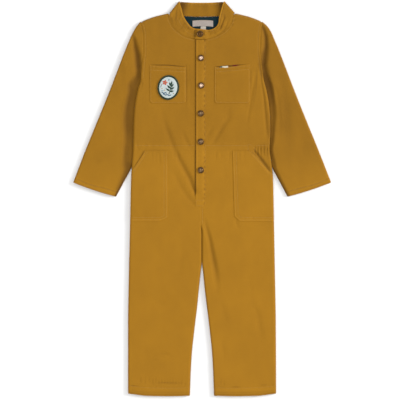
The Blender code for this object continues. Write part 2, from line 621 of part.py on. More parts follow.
def neck_lining():
    share = np.linspace(-1, 1, 15)[None, :]
    xs = CENTRE_X + NECK_LINING_WIDE * np.sin(share * np.pi / 2 * 0.97)
    top = back_neck_y(xs) - NECK_LINING_DOWN
    low = NECK_Y - NECK_LINING_DEEP * np.sqrt(1 - ((xs - CENTRE_X) / NECK_LINING_WIDE) ** 2)
    low = np.minimum(low, top - NECK_LINING_LEAST)
    down = np.linspace(0, 1, 4)[:, None]
    slab("neck_lining", xs + 0 * down, top + (low - top) * down, WALL + GAP, NECK_LINING_WALL, "lining")


def flat_label(name, at, wide, tall, slot):
    xs = at[0] + wide * np.linspace(-0.5, 0.5, 5)[None, :]
    ys = at[1] + tall * np.array([0.5, -0.5])[:, None]
    slab(name, xs + 0 * ys, ys + 0 * xs, WALL + NECK_LINING_WALL + 2 * GAP, LABEL_WALL, slot)


def turned(name, at, low, profile, sides, slot, stretch=(1.0, 1.0), spin=0.0):
    """A closed round piece: profile rows of (radius, height) from the foot's rim to the middle of the top."""
    points = []
    for radius, height in profile:
        for k in range(sides):
            a = 2 * np.pi * k / sides
            px, py = radius * stretch[0] * cos(a), radius * stretch[1] * sin(a)
            s = radians(spin)
            points.append((at[0] + px * cos(s) - py * sin(s), at[1] + px * sin(s) + py * cos(s), low + height))
    faces = [tuple(range(sides))[::-1], tuple((len(profile) - 1) * sides + k for k in range(sides))]
    for r in range(len(profile) - 1):
        for k in range(sides):
            m = (k + 1) % sides
            faces.append((r * sides + k, r * sides + m, (r + 1) * sides + m, (r + 1) * sides + k))
    add_object(name, points, faces, slot)


ON_TRIM = HEIGHT + GAP + TRIM_WALL + GAP  # just above a pocket or the placket
SNAP_PROFILE = [(0.92, 0), (1, 0.35), (0.93, 0.8), (0.72, 1), (0.6, 0.72)]  # shares of its radius and height
BADGE_PROFILE = [(1, 0), (1, 0.9), (0.93, 1.3), (0.88, 1.0)]  # share of its radius, height


def snap(number, at):
    low = ON_TRIM if number > 1 else HEIGHT + LAP_LIFT + GAP
    profile = [(SNAP_RADIUS * wide, SNAP_HEIGHT * high) for wide, high in SNAP_PROFILE]
    turned(f"snap_{number}", at, low, profile, 18, "metal")


def badge():
    turned("badge", BADGE_AT, ON_TRIM, BADGE_PROFILE, 28, "badge", (BADGE_WIDE, BADGE_TALL), BADGE_TURN)


def main():
    for old in list(bpy.data.objects):
        bpy.data.objects.remove(old)
    bodice_back()
    neck_lining()
    flat_label("neck_label", LABEL_AT, LABEL_WIDE, LABEL_TALL, "label")
    flat_label("size_tab", TAB_AT, TAB_WIDE, TAB_TALL, "tab")
    for side in ("right", "left"):
        leg_back(side)
        bodice_front(side)
        leg_front(side)
        sleeve(side)
        chest_pocket(side)
        hip_pocket(side)
    collar()
    placket()
    pocket_lining()
    badge()
    for number, at in enumerate(SNAPS, 1):
        snap(number, at)


main()
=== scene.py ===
# %% [markdown]
# # A child's needlecord jumpsuit, laid flat
# The garment lies on its back on a pale floor and is seen from straight above. Its cloth is modelled as
# thin shells on the solid model's form, with the creases, seams, hems and stitches of a sewn garment.
# The solid model comes in first and stays where it is; every shell then takes the place of one of its
# solids. Sizes here are in millimetres, in the solid model's frame, and become metres where a mesh is made.

# %% Load the fixed frame
import json
from collections import namedtuple
from math import ceil, cos, pi, radians, sin

import bpy
import numpy as np
from mathutils import Matrix, Vector
from mathutils.bvhtree import BVHTree

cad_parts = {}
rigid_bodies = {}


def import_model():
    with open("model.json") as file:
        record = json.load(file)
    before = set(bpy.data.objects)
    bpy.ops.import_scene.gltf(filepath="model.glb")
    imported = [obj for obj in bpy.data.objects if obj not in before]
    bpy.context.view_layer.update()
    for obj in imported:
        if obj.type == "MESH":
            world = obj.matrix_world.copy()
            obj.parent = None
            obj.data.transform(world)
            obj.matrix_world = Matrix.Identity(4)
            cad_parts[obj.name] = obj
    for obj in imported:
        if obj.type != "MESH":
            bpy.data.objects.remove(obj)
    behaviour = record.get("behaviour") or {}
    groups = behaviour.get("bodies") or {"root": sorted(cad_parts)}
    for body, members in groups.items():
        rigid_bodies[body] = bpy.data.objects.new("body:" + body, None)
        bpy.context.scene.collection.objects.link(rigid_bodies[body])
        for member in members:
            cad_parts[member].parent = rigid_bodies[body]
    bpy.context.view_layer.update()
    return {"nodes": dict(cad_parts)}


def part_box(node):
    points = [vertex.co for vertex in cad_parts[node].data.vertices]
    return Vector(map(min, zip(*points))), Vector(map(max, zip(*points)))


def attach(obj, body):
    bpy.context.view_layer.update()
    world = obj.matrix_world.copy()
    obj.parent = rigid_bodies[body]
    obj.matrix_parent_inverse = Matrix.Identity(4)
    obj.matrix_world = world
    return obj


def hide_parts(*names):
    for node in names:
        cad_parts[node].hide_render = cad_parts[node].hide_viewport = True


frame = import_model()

print("solids:", len(frame["nodes"]))

# %% [markdown]
# ## The sizes that the pieces share
# The front stands 7.4 mm over the floor and its folded edges roll down to the back's, which lies flat.
# Each table below gives an outline: where the body's sides, the legs' insides, the shoulders, the hems
# and the sleeves run. A smooth curve through a few given points is all that such an outline needs.

# %% Sizes and outlines
MM = 0.001
HEIGHT, SEAM_Z, ROLL, UNDER_ROLL = 7.4, 2.3, 4.5, 2.1
PANEL_THICK, TRIM_THICK = 1.1, 0.8
FOLD_RADIUS = 1.25  # a turned-up hem is two layers round this radius
HEM_DEEP, CUFF_DEEP = 21.0, 13.0
WAIST_Y, UNDERARM_Y, CENTRE_X, UNDERLAP_X = 115.2, 285.5, -1.8, 9.5
NECK_Y, NECK_WIDE, NECK_DEEP = 434.75, 75.9, 58.75
ARM_GAP, ARMHOLE_GAP, CUFF_BOW = 0.1, 0.1, 1.9
SEAM_GAP = 0.02  # half the gap between two panels

Side = namedtuple("Side", "y right left")
SIDES = [Side(417.0, -145.1, 143.5), Side(394.0, -138.1, 138.6), Side(351.0, -136.9, 137.5),
         Side(316.0, -140.4, 141.0), Side(285.5, -142.8, 145.0), Side(257.0, -151.0, 152.5),
         Side(222.0, -157.2, 158.6), Side(190.0, -160.2, 161.4), Side(163.0, -160.9, 162.0),
         Side(120.0, -161.6, 160.2), Side(81.0, -164.4, 164.6),
         Side(48.0, -166.2, 167.6), Side(-40.0, -168.2, 169.6), Side(-170.0, -171.2, 172.0),
         Side(-290.0, -173.2, 174.1), Side(-462.0, -173.3, 174.9)]
INSEAMS = [Side(116.0, -1.8, -1.8), Side(-60.0, -1.8, -1.8), Side(-78.0, 0.3, 0.3), Side(-144.0, 0.3, 0.3),
           Side(-172.0, -2.8, 3.3), Side(-209.0, -6.6, 6.7), Side(-247.0, -10.3, 11.4), Side(-303.0, -16.9, 18.2),
           Side(-360.0, -23.1, 24.2), Side(-397.0, -25.5, 26.4), Side(-462.0, -28.0, 28.8)]
SHOULDER = [(80, 437.2), (91, 434.8), (110, 430.0), (124, 425.2), (146, 416.0)]  # across, y
HEM = [(0.0, -456.5), (0.3, -461.4), (0.7, -462.3), (1.0, -461.2)]  # share from side seam to inseam, y
SLEEVE_EDGE = [(417.0, 144.6, 145.0), (406.5, 153.2, 155.9), (392.5, 161.7, 164.4), (378.0, 168.6, 170.2),
               (354.9, 178.4, 179.8), (260.0, 214.8, 216.4), (200.0, 239.0, 240.2), (110.0, 275.6, 276.8),
               (40.0, 302.2, 304.2)]  # y, how far out the right and the left sleeve's outer edges are
SLEEVE_RINGS = [(417.0, 285.5), (411.5, 283), (405.5, 280.5), (399, 277.5), (392.5, 274.5), (385.5, 270.5),
                (378, 266.5), (366.5, 259), (355, 250), (333, 234), (310, 216), (262, 180), (210, 143),
                (160, 104), (117, 68), (80, 38), (40.0, 6.7)]  # y at the outer edge, y at the inner edge
SLEEVE_LEAVES_BODY_Y, CUFF_INNER = 74.7, (201.6, 6.7)


def smooth(at, rows, take=1, by=0):
    """A curve through a table's rows: cubic stretches that never swing past its values."""
    table = sorted((row[by], row[take]) for row in rows)
    places, values = np.array(table, float).T
    rise = np.diff(values) / np.diff(places)
    same_way = rise[:-1] * rise[1:] > 0
    total = np.where(same_way, rise[:-1] + rise[1:], 1)
    slopes = np.concatenate([rise[:1], np.where(same_way, 2 * rise[:-1] * rise[1:] / total, 0), rise[-1:]])
    at = np.clip(at, places[0], places[-1])
    i = np.clip(np.searchsorted(places, at) - 1, 0, len(places) - 2)
    span = places[i + 1] - places[i]
    t = (at - places[i]) / span
    return ((2 * t**3 - 3 * t**2 + 1) * values[i] + (t**3 - 2 * t**2 + t) * span * slopes[i]
            + (3 * t**2 - 2 * t**3) * values[i + 1] + (t**3 - t**2) * span * slopes[i + 1])


def side_x(side, y):
    return smooth(y, SIDES, 1 if side == "right" else 2)


def inseam_x(side, y):
    return smooth(y, INSEAMS, 1 if side == "right" else 2) + (-SEAM_GAP if side == "right" else SEAM_GAP)


def shoulder_y(x):
    return smooth(np.abs(x), SHOULDER)


def neck_point(angle, inset=0.0):
    """On the neckline: angle 0 is the centre front and 90 the wearer's left shoulder."""
    a = radians(angle)
    return CENTRE_X + (NECK_WIDE - inset) * sin(a), NECK_Y - (NECK_DEEP - inset) * cos(a)


def back_neck_y(x):
    return 430.0 + 5.9 * (x / 77.3) ** 2


def ease(value, start, end):
    """0 before start, 1 past end and a smooth step between them."""
    t = np.clip((value - start) / (end - start), 0, 1)
    return t * t * (3 - 2 * t)


def spread(stops, step):
    """From each stop to the next in even steps of at most this size."""
    runs = [np.linspace(a, b, max(2, ceil(abs(b - a) / step) + 1))[:-1] for a, b in zip(stops, stops[1:])]
    return np.concatenate(runs + [stops[-1:]])


print("waist to hem:", WAIST_Y - HEM[2][1], "mm")

# %% [markdown]
# ## Creases
# Cloth that was folded and then smoothed out by hand keeps its creases: soft troughs, deepest where
# something pulls and fading out at both ends. Simulation would give different ones each time its
# settings change, so each crease is listed here, as points with a depth and a width.

# %% Creases, seams and the small waves between them
P = namedtuple("P", "x y depth width")
RIM = 0.3  # how much of a crease's depth comes back up beside it
FRONT_CREASES = [
    [P(-97, 215, 0, 8), P(-83, 168, 1.2, 7), P(-65, 121, 1.7, 7), P(-52.5, 93, 2.4, 7), P(-29, 50, 2.8, 6.5),
     P(-16, 20, 3.0, 5.5), P(-12, 8, 0, 5)],
    [P(-75, 81, 0, 7), P(-44, 22, 1.1, 7), P(-22, -8, 1.0, 6), P(-13, -17, 0, 5)],
    [P(-48, 168, 0, 5), P(-36, 138, 1.5, 5), P(-22, 112, 0, 4)],
    [P(64, 222, 0, 6), P(64, 192, 0.9, 8), P(48, 168, 1.5, 6), P(31, 138, 1.4, 4.5), P(24, 126, 0, 4)],
    [P(27, 174, 0, 4), P(19, 158, 1.2, 4), P(12, 144, 0, 4)],
    [P(128, 296, 0, 4), P(118, 252, 1.0, 4), P(111, 206, 0.9, 4), P(106, 172, 0, 4)],
    [P(136, 300, 0, 3.5), P(140.5, 272, 1.2, 3.0), P(146, 240, 1.7, 3.0), P(149.5, 200, 1.7, 3.2), P(151.5, 168, 1.4, 3.4),
     P(156, 138, 0, 3)],
    [P(3, -36, 0, 5), P(13, -74, 1.8, 5), P(19, -97, 2.8, 5.5), P(25, -130, 3.0, 6.5), P(31, -162, 2.8, 7),
     P(36, -194, 1.2, 8), P(37, -230, 0, 7)],
    [P(-105, 112, 0.5, 4), P(-96, 72, 0, 4)],
    [P(-88, 108, 0.4, 4), P(-86, 80, 0, 4)],
    [P(111, -231, 0, 7), P(130, -264, 0.7, 8), P(139, -307, 0.7, 8), P(144, -334, 0, 7)],
    [P(43, -232, 0, 7), P(54, -270, 0.5, 9), P(61, -297, 0, 7)],
    [P(47, -326, 0, 6), P(51, -352, 0.5, 6), P(53, -380, 0, 6)],
    [P(-118, -365, 0, 4), P(-86, -363, 0.9, 4.5), P(-64, -369, 0, 4)],
    [P(-123, -378, 0, 3), P(-108, -376, 0.5, 3.5), P(-94, -378, 0, 3)],
    [P(77, -42, 0, 4), P(82, -55, 1.0, 4), P(88, -70, 0, 4)],
    [P(-143, 286, 0, 3), P(-141, 272, 0.9, 3), P(-145, 252, 0, 3)],
    [P(-157, 152, 0, 4), P(-150, 121, 0.6, 4), P(-148, 112, 0, 4)],
    [P(-117, -236, 0, 8), P(-96, -244, 0.5, 8), P(-78, -240, 0, 8)],
    [P(-40, -118, 0, 9), P(-52, -150, 0.5, 10), P(-48, -196, 0, 9)],
    [P(116, -168, 0, 9), P(112, -196, 0.6, 9), P(118, -216, 0, 8)],
    [P(-150, 340, 0, 6), P(-120, 348, 0.4, 8), P(-88, 338, 0, 7)],
    [P(44, 372, 0, 6), P(60, 352, 0.5, 7), P(88, 344, 0, 7)],
    [P(-25.2, 318, 0, 2), P(-25.2, 296, 0.6, 1.9), P(-25.2, 232, 0.5, 1.9), P(-25, 188, 0, 2)],
    [P(-35.5, 322, 0.2, 1.8), P(-35.8, 300, 0.8, 1.8), P(-35.8, 240, 0.6, 1.8), P(-36, 214, 0, 2)],
]
FRONT_CREASES += [[P(x, WAIST_Y - 3, 0.2, 2.4), P(x + lean, WAIST_Y - 11, deep, 2.6), P(x + 2 * lean, WAIST_Y - long, 0, 2.2)]
                  for x, lean, deep, long in ((-118, 0.4, 0.4, 24), (-109, 0.8, 0.6, 34), (-101, 1.5, 0.8, 40),
                                              (-92, 0.6, 0.5, 28), (-84, 1.0, 0.6, 30), (-66, 1.2, 0.6, 26),
                                              (-57, 2.0, 0.7, 30), (34, -0.6, 0.5, 30), (46, -0.4, 0.4, 22),
                                              (66, -1.0, 0.6, 34), (88, -0.6, 0.5, 26), (99, -0.8, 0.4, 30))]
FRONT_CREASES.append([P(122, 116, 0.9, 3.2), P(132, 103, 1.5, 3.6), P(146, 84, 1.8, 4.2), P(158, 67, 1.3, 4.0), P(164, 57, 0, 3)])
PUCKERS_ABOVE_HEM = [(-145, -422), (-134, -425), (-125, -421), (-116, -427), (-109, -423), (-102, -427), (-95, -425),
                     (-88, -427), (-82, -426), (-75, -428), (-69, -426), (-62, -427), (-55, -429), (-49, -428),
                     (-40, -431), (44, -427), (52, -431)]
FRONT_CREASES += [[P(x, y + 9, 0, 1.5), P(x + 0.5, y + 2, 0.35, 1.7), P(x, y - 4, 0.8, 2.2), P(x - 0.5, y - 8, 0, 1.8)]
                  for x, y in PUCKERS_ABOVE_HEM]
GATHERS = [(125.1, 1.1), (131.0, 1.5), (138.3, 1.7), (145.8, 1.4), (153.4, 1.6), (159.0, 1.0)]
FRONT_CREASES += [[P(x, WAIST_Y + 17, 0, 1.9), P(x, WAIST_Y + 5, deep, 2.1), P(x, WAIST_Y - 5, deep, 2.1),
                   P(x + 1, WAIST_Y - 17, 0, 1.9)] for x, deep in GATHERS]
SLEEVE_CREASES = {
    "right": [[P(-166, 394, 0, 4), P(-159.5, 376, 3.2, 5.5), P(-156.3, 360, 4.4, 6.5), P(-152, 338, 4.8, 8.5),
               P(-149.5, 314, 4.8, 9), P(-149.5, 294, 3.8, 8.5), P(-153, 276, 2.0, 8), P(-158, 262, 0, 6)],
              [P(-158, 306, 0, 5), P(-163, 285, 0.7, 6), P(-175, 262, 0, 7)],
              [P(-196, 330, 0, 8), P(-186, 300, 0.7, 8), P(-188, 262, 0, 8)],
              [P(-262, 100, 0, 6), P(-246, 90, 0.4, 6), P(-226, 96, 0, 6)]],
    "left": [[P(140, 414, 0, 3), P(146.5, 398, 2.4, 4.2), P(150.5, 380, 3.6, 5.4), P(151, 360, 4.4, 6.5),
              P(147.5, 338, 4.8, 8.5), P(145, 316, 4.8, 8.5), P(149.5, 294, 4.6, 8.5), P(156, 272, 3.4, 8), P(160, 254, 0, 6)],
             [P(176, 312, 0, 8), P(189, 270, 0.6, 12), P(198, 226, 0.6, 16), P(201, 170, 0.7, 15), P(206, 108, 0, 12)],
             [P(172, 272, 0, 4), P(180, 236, 0.5, 5), P(184, 190, 0.5, 5), P(184, 130, 0, 5)],
             [P(206, 66, 0, 5), P(226, 62, 0.5, 5), P(247, 69, 0, 5)]],
}


def relief(x, y, creases, rim=RIM):
    """How deep the creases press the cloth at each point. Cloth pushed out of a trough stands up as its rims."""
    depth = np.zeros(np.broadcast(x, y).shape)
    for crease in creases:
        nearest, deep = np.full(depth.shape, 9.0), np.zeros_like(depth)
        for a, b in zip(crease, crease[1:]):
            run_x, run_y = b.x - a.x, b.y - a.y
            t = np.clip(((x - a.x) * run_x + (y - a.y) * run_y) / (run_x**2 + run_y**2), 0, 1)
            away = np.hypot(x - a.x - t * run_x, y - a.y - t * run_y) / (a.width + t * (b.width - a.width))
            deep = np.where(away < nearest, a.depth + t * (b.depth - a.depth), deep)
            nearest = np.minimum(nearest, away)
        depth += deep * (1 - rim * nearest**2) * np.exp(-(nearest**2))
    return depth


def line(points, depth, width):
    """A seam's groove: a crease of even depth through the points."""
    return [P(x, y, depth, width) for x, y in points]


def waves(x, y):
    """The slight unevenness of cloth that was smoothed by hand."""
    return (0.16 * np.sin(x / 21 + 0.7 + 0.5 * np.sin(y / 57)) * np.sin(y / 33 + 1.1)
            + 0.11 * np.sin((x + 0.6 * y) / 15 + 2.0) * np.sin((y - 0.4 * x) / 37)
            + 0.05 * np.sin((x - 0.3 * y) / 6.1) * np.sin((y + x) / 9.7))


def armhole(side, inset=0.0):
    sign = -1 if side == "right" else 1
    return [(float(side_x(side, y)) - sign * inset, y) for y in np.linspace(416, UNDERARM_Y, 12)]


NECKLINE = [neck_point(a) for a in range(-90, 91, 6)]
SEAM_GROOVES = [line([(-170, WAIST_Y), (170, WAIST_Y)], 0.18, 2.2), line(NECKLINE, 0.5, 2.0),
                line(armhole("right"), 0.6, 2.0), line(armhole("left"), 0.6, 2.0),
                line([(CENTRE_X, -18), (CENTRE_X, -62)], 0.35, 1.8)]
CREASE_SHADE = 0.07  # painted shade: how much darker a crease is painted for each millimetre of its depth
FRONT_SHADES = [  # painted shade: dark lines where shade falls, first beside the left hip pocket's mouth and under the gathers
    [P(122, 117, 0.10, 3), P(131, 108, 0.34, 3.6), P(142.5, 93, 0.46, 3.8), P(153.5, 79, 0.36, 3.2), P(165, 64, 0.2, 3.5)],
    [P(126, 126, 0.05, 8), P(146, 121, 0.14, 12), P(156, 100, 0.14, 10), P(163, 78, 0.10, 7)],
    line([(-146, 97), (-136.5, 113)], 0.16, 2.4),
    [P(137, 345, 0.05, 3), P(137, 316, 0.30, 4.5), P(140.5, 296, 0.34, 3), P(142, 280, 0, 3)],  # by the left armhole
    [P(151, 236, 0, 4), P(157, 196, 0.12, 5), P(160, 163, 0.26, 6), P(158, 128, 0.08, 5)],  # and down the left side
    [P(-108, -431, 0.1, 1.3), P(-88, -430.5, 0.28, 1.5), P(-62, -431.5, 0.28, 1.5), P(-48, -431, 0.05, 1.3)],  # above hems
    [P(-172, -437, 0.1, 1.2), P(-160, -437.6, 0.34, 1.3), P(-147, -438.6, 0.05, 1.2)],
    [P(70, -440, 0.1, 1.2), P(80, -440.4, 0.34, 1.4), P(92, -440.4, 0.1, 1.2)], line([(140, -436), (152, -435)], 0.2, 1.2),
    [P(-34.8, 318, 0.15, 1.6), P(-34.8, 290, 0.32, 1.6), P(-34.8, 238, 0.22, 1.6), P(-35, 205, 0, 1.6)],
    [P(-28, 316, 0.14, 1.5), P(-28, 282, 0.14, 1.5), P(-26, 236, 0, 1.5)],
    line([(-15.6, 372), (-15.4, 200), (-15.6, 10)], 0.45, 1.3),  # in the placket's shadow

    [P(115.6, 302, 0.1, 1.6), P(115.6, 284, 0.2, 1.6), P(115, 262, 0.08, 1.6), P(108, 222, 0.1, 2), P(106, 205, 0, 2)],
    [P(130, 304, 0.08, 1.8), P(129.5, 288, 0.18, 1.8), P(127, 256, 0.12, 2), P(121, 222, 0.08, 2), P(117, 196, 0, 2)],
]
HIGHLIGHT_LINES = [  # painted highlights: light lines along the doubled hems, above the waist seam by the right pocket's mouth, and beside the chest pockets
    line([(-60, WAIST_Y + 5), (-154, WAIST_Y + 13)], 0.05, 5.0),
    line([(40, -447), (168, -445)], 0.09, 5.0), line([(-168, -445), (-40, -447)], 0.04, 5.0),
    line([(-31.2, 314), (-31.2, 220)], 0.13, 1.4), line([(-41, 300), (-41, 236)], 0.08, 1.5),
    line([(122.5, 300), (120, 262), (114, 226)], 0.07, 1.8), line([(133.5, 306), (133, 280), (131, 256)], 0.06, 1.6),
]


def falloff_shade(y):
    """Painted shade: the bodice is painted a little darker than the legs, most towards the top, where the light falls
    off.
    """
    return 0.03 + 0.12 * ease(y, 95, 150) + 0.06 * ease(y, 205, 345)


print("front creases:", len(FRONT_CREASES))

# %% [markdown]
# ## Rows of topstitching
# Topstitching shows as a fine dotted line because the thread pulls the cloth down into a small groove.
# So a row is used twice: the panel sinks and puckers a little along it, and later the stitches are laid in it.

# %% Where the rows run
HEM_ROW_UP = 19.0


def hem_row(side, up=HEM_ROW_UP):
    """Across a trouser leg, above its hem, from the side seam to the inseam."""
    points = []
    for share in np.linspace(0.0, 1.0, 9):
        y = float(smooth(share, HEM)) + up
        outer, inner = float(side_x(side, y)), float(inseam_x(side, y))
        points.append((outer + (inner - outer) * (0.012 + 0.976 * share), y))
    return points


def shoulder_row(side, down):
    sign = -1 if side == "right" else 1
    return [(sign * x, float(shoulder_y(x)) - down) for x in np.linspace(84, 139, 6)]


BODY_ROWS = [
    [(-156, 127), (-90, 126.4), (-15.6, 126.8)], [(10.8, 126.8), (70, 126.4), (108, 127)],
    [(108.7, 111.8), (108.7, 128.8), (116, 129), (125.5, 120), (125.5, 111.8)],
    [(127, 126.9), (162, 127.2)],
    [(1.6, -20), (1.6, -58)],
    shoulder_row("right", 3.6), shoulder_row("left", 3.6), armhole("right", 5.5), armhole("left", 5.5),
    hem_row("right"), hem_row("left"),
    [neck_point(a, -3.2) for a in range(-84, -11, 6)], [neck_point(a, -3.2) for a in range(12, 85, 6)],
]


def stitched(x, y, rows):
    """The groove of each row, with the little puckers that its thread draws up."""
    depth = np.zeros(np.broadcast(x, y).shape)
    for number, row in enumerate(rows):
        run = 0.0
        nearest = np.full(depth.shape, 1e9)
        along = np.zeros_like(depth)
        for (ax, ay), (bx, by) in zip(row, row[1:]):
            length = float(np.hypot(bx - ax, by - ay))
            t = np.clip(((x - ax) * (bx - ax) + (y - ay) * (by - ay)) / length**2, 0, 1)
            away = np.hypot(x - ax - t * (bx - ax), y - ay - t * (by - ay))
            along = np.where(away < nearest, run + t * length, along)
            nearest = np.minimum(nearest, away)
            run += length
        depth += 0.42 * (1 - RIM * (nearest / 1.4) ** 2) * np.exp(-((nearest / 1.4) ** 2))
        depth += 0.2 * np.exp(-((nearest / 5.0) ** 2)) * np.sin(along / 1.9 + number + 2.2 * np.sin(along / 13)) * (
            0.6 + 0.4 * np.sin(along / 23 + 2 * number))
    return depth


print("rows of stitches on the body:", len(BODY_ROWS))

# %% [markdown]
# ## Cloth shells
# A cut piece of cloth is a grid of points, rows by columns, and so it is made from one: the grid is the
# piece's outer face, and a Solidify modifier gives it its thickness. The flat cloth coordinates go into a
# UV map, measured over the rolls and creases, so that the ribs run with the grain and never stretch.

# %% From a grid to a shell
def unrolled(grid, grain, anchor):
    """Flat cloth coordinates of each point, in metres: across the ribs, then along them."""
    a = radians(grain)
    across = grid[..., 0] * sin(a) - grid[..., 1] * cos(a)
    along = grid[..., 0] * cos(a) + grid[..., 1] * sin(a)
    step = np.hypot(np.diff(across, axis=1), np.diff(grid[..., 2], axis=1))
    run = np.concatenate([np.zeros((len(grid), 1)), np.cumsum(step, axis=1)], axis=1)
    way = np.sign(np.sum(across[:, anchor + 1] - across[:, anchor - 1]))
    return MM * np.dstack([across[:, anchor:anchor + 1] + way * (run - run[:, anchor:anchor + 1]), along])


def apply_modifiers(piece):
    bpy.context.view_layer.objects.active = piece
    for modifier in list(piece.modifiers):
        bpy.ops.object.modifier_apply(modifier=modifier.name)


def shell(name, grid, thick, facing=1, ring=False, grain=90.0, flat=None, painted_shading=0.0):
    """Make a shell whose outer face is the grid and looks up (facing 1) or down (-1) at its middle."""
    rows, columns = grid.shape[:2]
    closed = np.concatenate([grid, grid[:, :1]], axis=1) if ring else grid
    anchor = columns // 4 if ring else columns // 2
    flat = unrolled(closed, grain, anchor) if flat is None else flat
    r, c = np.meshgrid(np.arange(rows - 1), np.arange(closed.shape[1] - 1), indexing="ij")
    rs, cs = np.stack([r, r, r + 1, r + 1], -1), np.stack([c, c + 1, c + 1, c], -1)
    step_c = closed[1:-1, anchor + 1] - closed[1:-1, anchor]
    step_r = closed[2:, anchor] - closed[1:-1, anchor]
    if np.sign(np.median(np.cross(step_c, step_r)[:, 2])) != facing:
        rs, cs = rs[..., ::-1], cs[..., ::-1]
    mesh = bpy.data.meshes.new(name)
    mesh.from_pydata((MM * grid.reshape(-1, 3)).tolist(), [], (rs * columns + cs % columns).reshape(-1, 4).tolist())
    mesh.uv_layers.new(name="cloth").data.foreach_set("uv", flat[rs, cs].astype(np.float32).ravel())
    # painted shade and painted highlights go onto the cloth as an attribute, together with the painted shade that
    # darkens the bodice towards the top
    pile_shade = np.broadcast_to(painted_shading + falloff_shade(grid[..., 1]), grid.shape[:2]).astype(np.float32)
    mesh.attributes.new("painted_shading", "FLOAT", "POINT").data.foreach_set("value", pile_shade.ravel())
    piece = bpy.data.objects.new(name, mesh)
    bpy.context.scene.collection.objects.link(piece)
    solid = piece.modifiers.new("thickness", "SOLIDIFY")
    solid.thickness, solid.offset = thick * MM, -1
    apply_modifiers(piece)
    mesh = piece.data
    mesh.shade_smooth()
    mesh.set_sharp_from_angle(angle=radians(50))
    area = sum(face.area for face in mesh.polygons) / 2
    print(f"{name}: {len(mesh.polygons)} faces, cloth area {area:.4f} m2")
    return piece


def hem_turn(deep=HEM_DEEP, steps=6):
    """How a hem turns under: for each row past the last flat one, its inset and how far short of the hem it lies."""
    turn = [(FOLD_RADIUS * (1 - cos(a)), FOLD_RADIUS * (1 - sin(a))) for a in np.linspace(0, pi, steps + 1)[1:]]
    return turn + [(2 * FOLD_RADIUS, FOLD_RADIUS + d) for d in (2.0, 5.0, deep - 2.0, deep)]


print("hem rows:", len(hem_turn()))

# %% [markdown]
# ## Front panels
# Each front panel rolls down over its folded side edge, and the bodice's also over the shoulder. The
# columns of its grid follow the roll in small turns, and its rows crowd where a seam needs them.

# %% Front panels of the bodice and the legs
SIDE_TURNS = np.radians(np.linspace(0, 90, 9))


def front_grid(side, share, side_turn, inner_turn, y, inset, drops, inner_at, centre_roll, fade, reference, fall):
    """Points of a front panel: y gives each row's heights, and the edges roll in and down where they drop."""
    toward = 1 if side == "right" else -1
    side_drop, inner_drop = drops
    edge_y, inner_y = y[:, :1], y[:, -1:]
    roll_in = ROLL * (1 - np.cos(side_turn)) + inset * side_drop * np.cos(side_turn)
    inner_roll = centre_roll * (1 - np.cos(inner_turn)) + inset * inner_drop * np.cos(inner_turn)
    edge_x, inner_x = side_x(side, edge_y), inner_at(inner_y)
    start, end = edge_x + toward * roll_in, inner_x - toward * inner_roll
    first, last = start[reference:reference + 1], end[reference:reference + 1]
    x = first + (last - first) * share + (start - first) * (1 - share) ** fade + (end - last) * share**fade
    rise = (1 - side_drop * (1 - np.sin(side_turn))) * (1 - inner_drop * (1 - np.sin(inner_turn))) * fall
    creases = relief(x, y, FRONT_CREASES)
    above = ease(edge_y, 52, 70)
    # painted shade along the rolled edges, except a painted highlight along the right side's outer edge higher up
    outer_dark, inner_dark = (-0.15 * above, 0.5) if side == "right" else (0.34 - 0.06 * above, 0.16)
    edge = outer_dark * (1 - np.sin(side_turn)) * side_drop + inner_dark * (1 - np.sin(inner_turn)) * inner_drop
    up = y - smooth(np.clip((x - edge_x) / (inner_x - edge_x), 0, 1), HEM)
    # painted shade: two dark lines just above the hem
    hem = 0.24 * np.exp(-(((up - 3.8) / 1.6) ** 2)) + 0.12 * np.exp(-(((up - 8.6) / 1.4) ** 2))
    # painted shade in the creases and along the shade lines, painted highlights along the highlight lines
    painted_shading = CREASE_SHADE * creases + edge + hem + relief(x, y, FRONT_SHADES, 0) - relief(x, y, HIGHLIGHT_LINES, 0)
    sunk = creases + relief(x, y, SEAM_GROOVES) + stitched(x, y, BODY_ROWS) - waves(x, y)
    return np.dstack([x, y, SEAM_Z + (HEIGHT - inset - SEAM_Z - sunk) * rise]), painted_shading


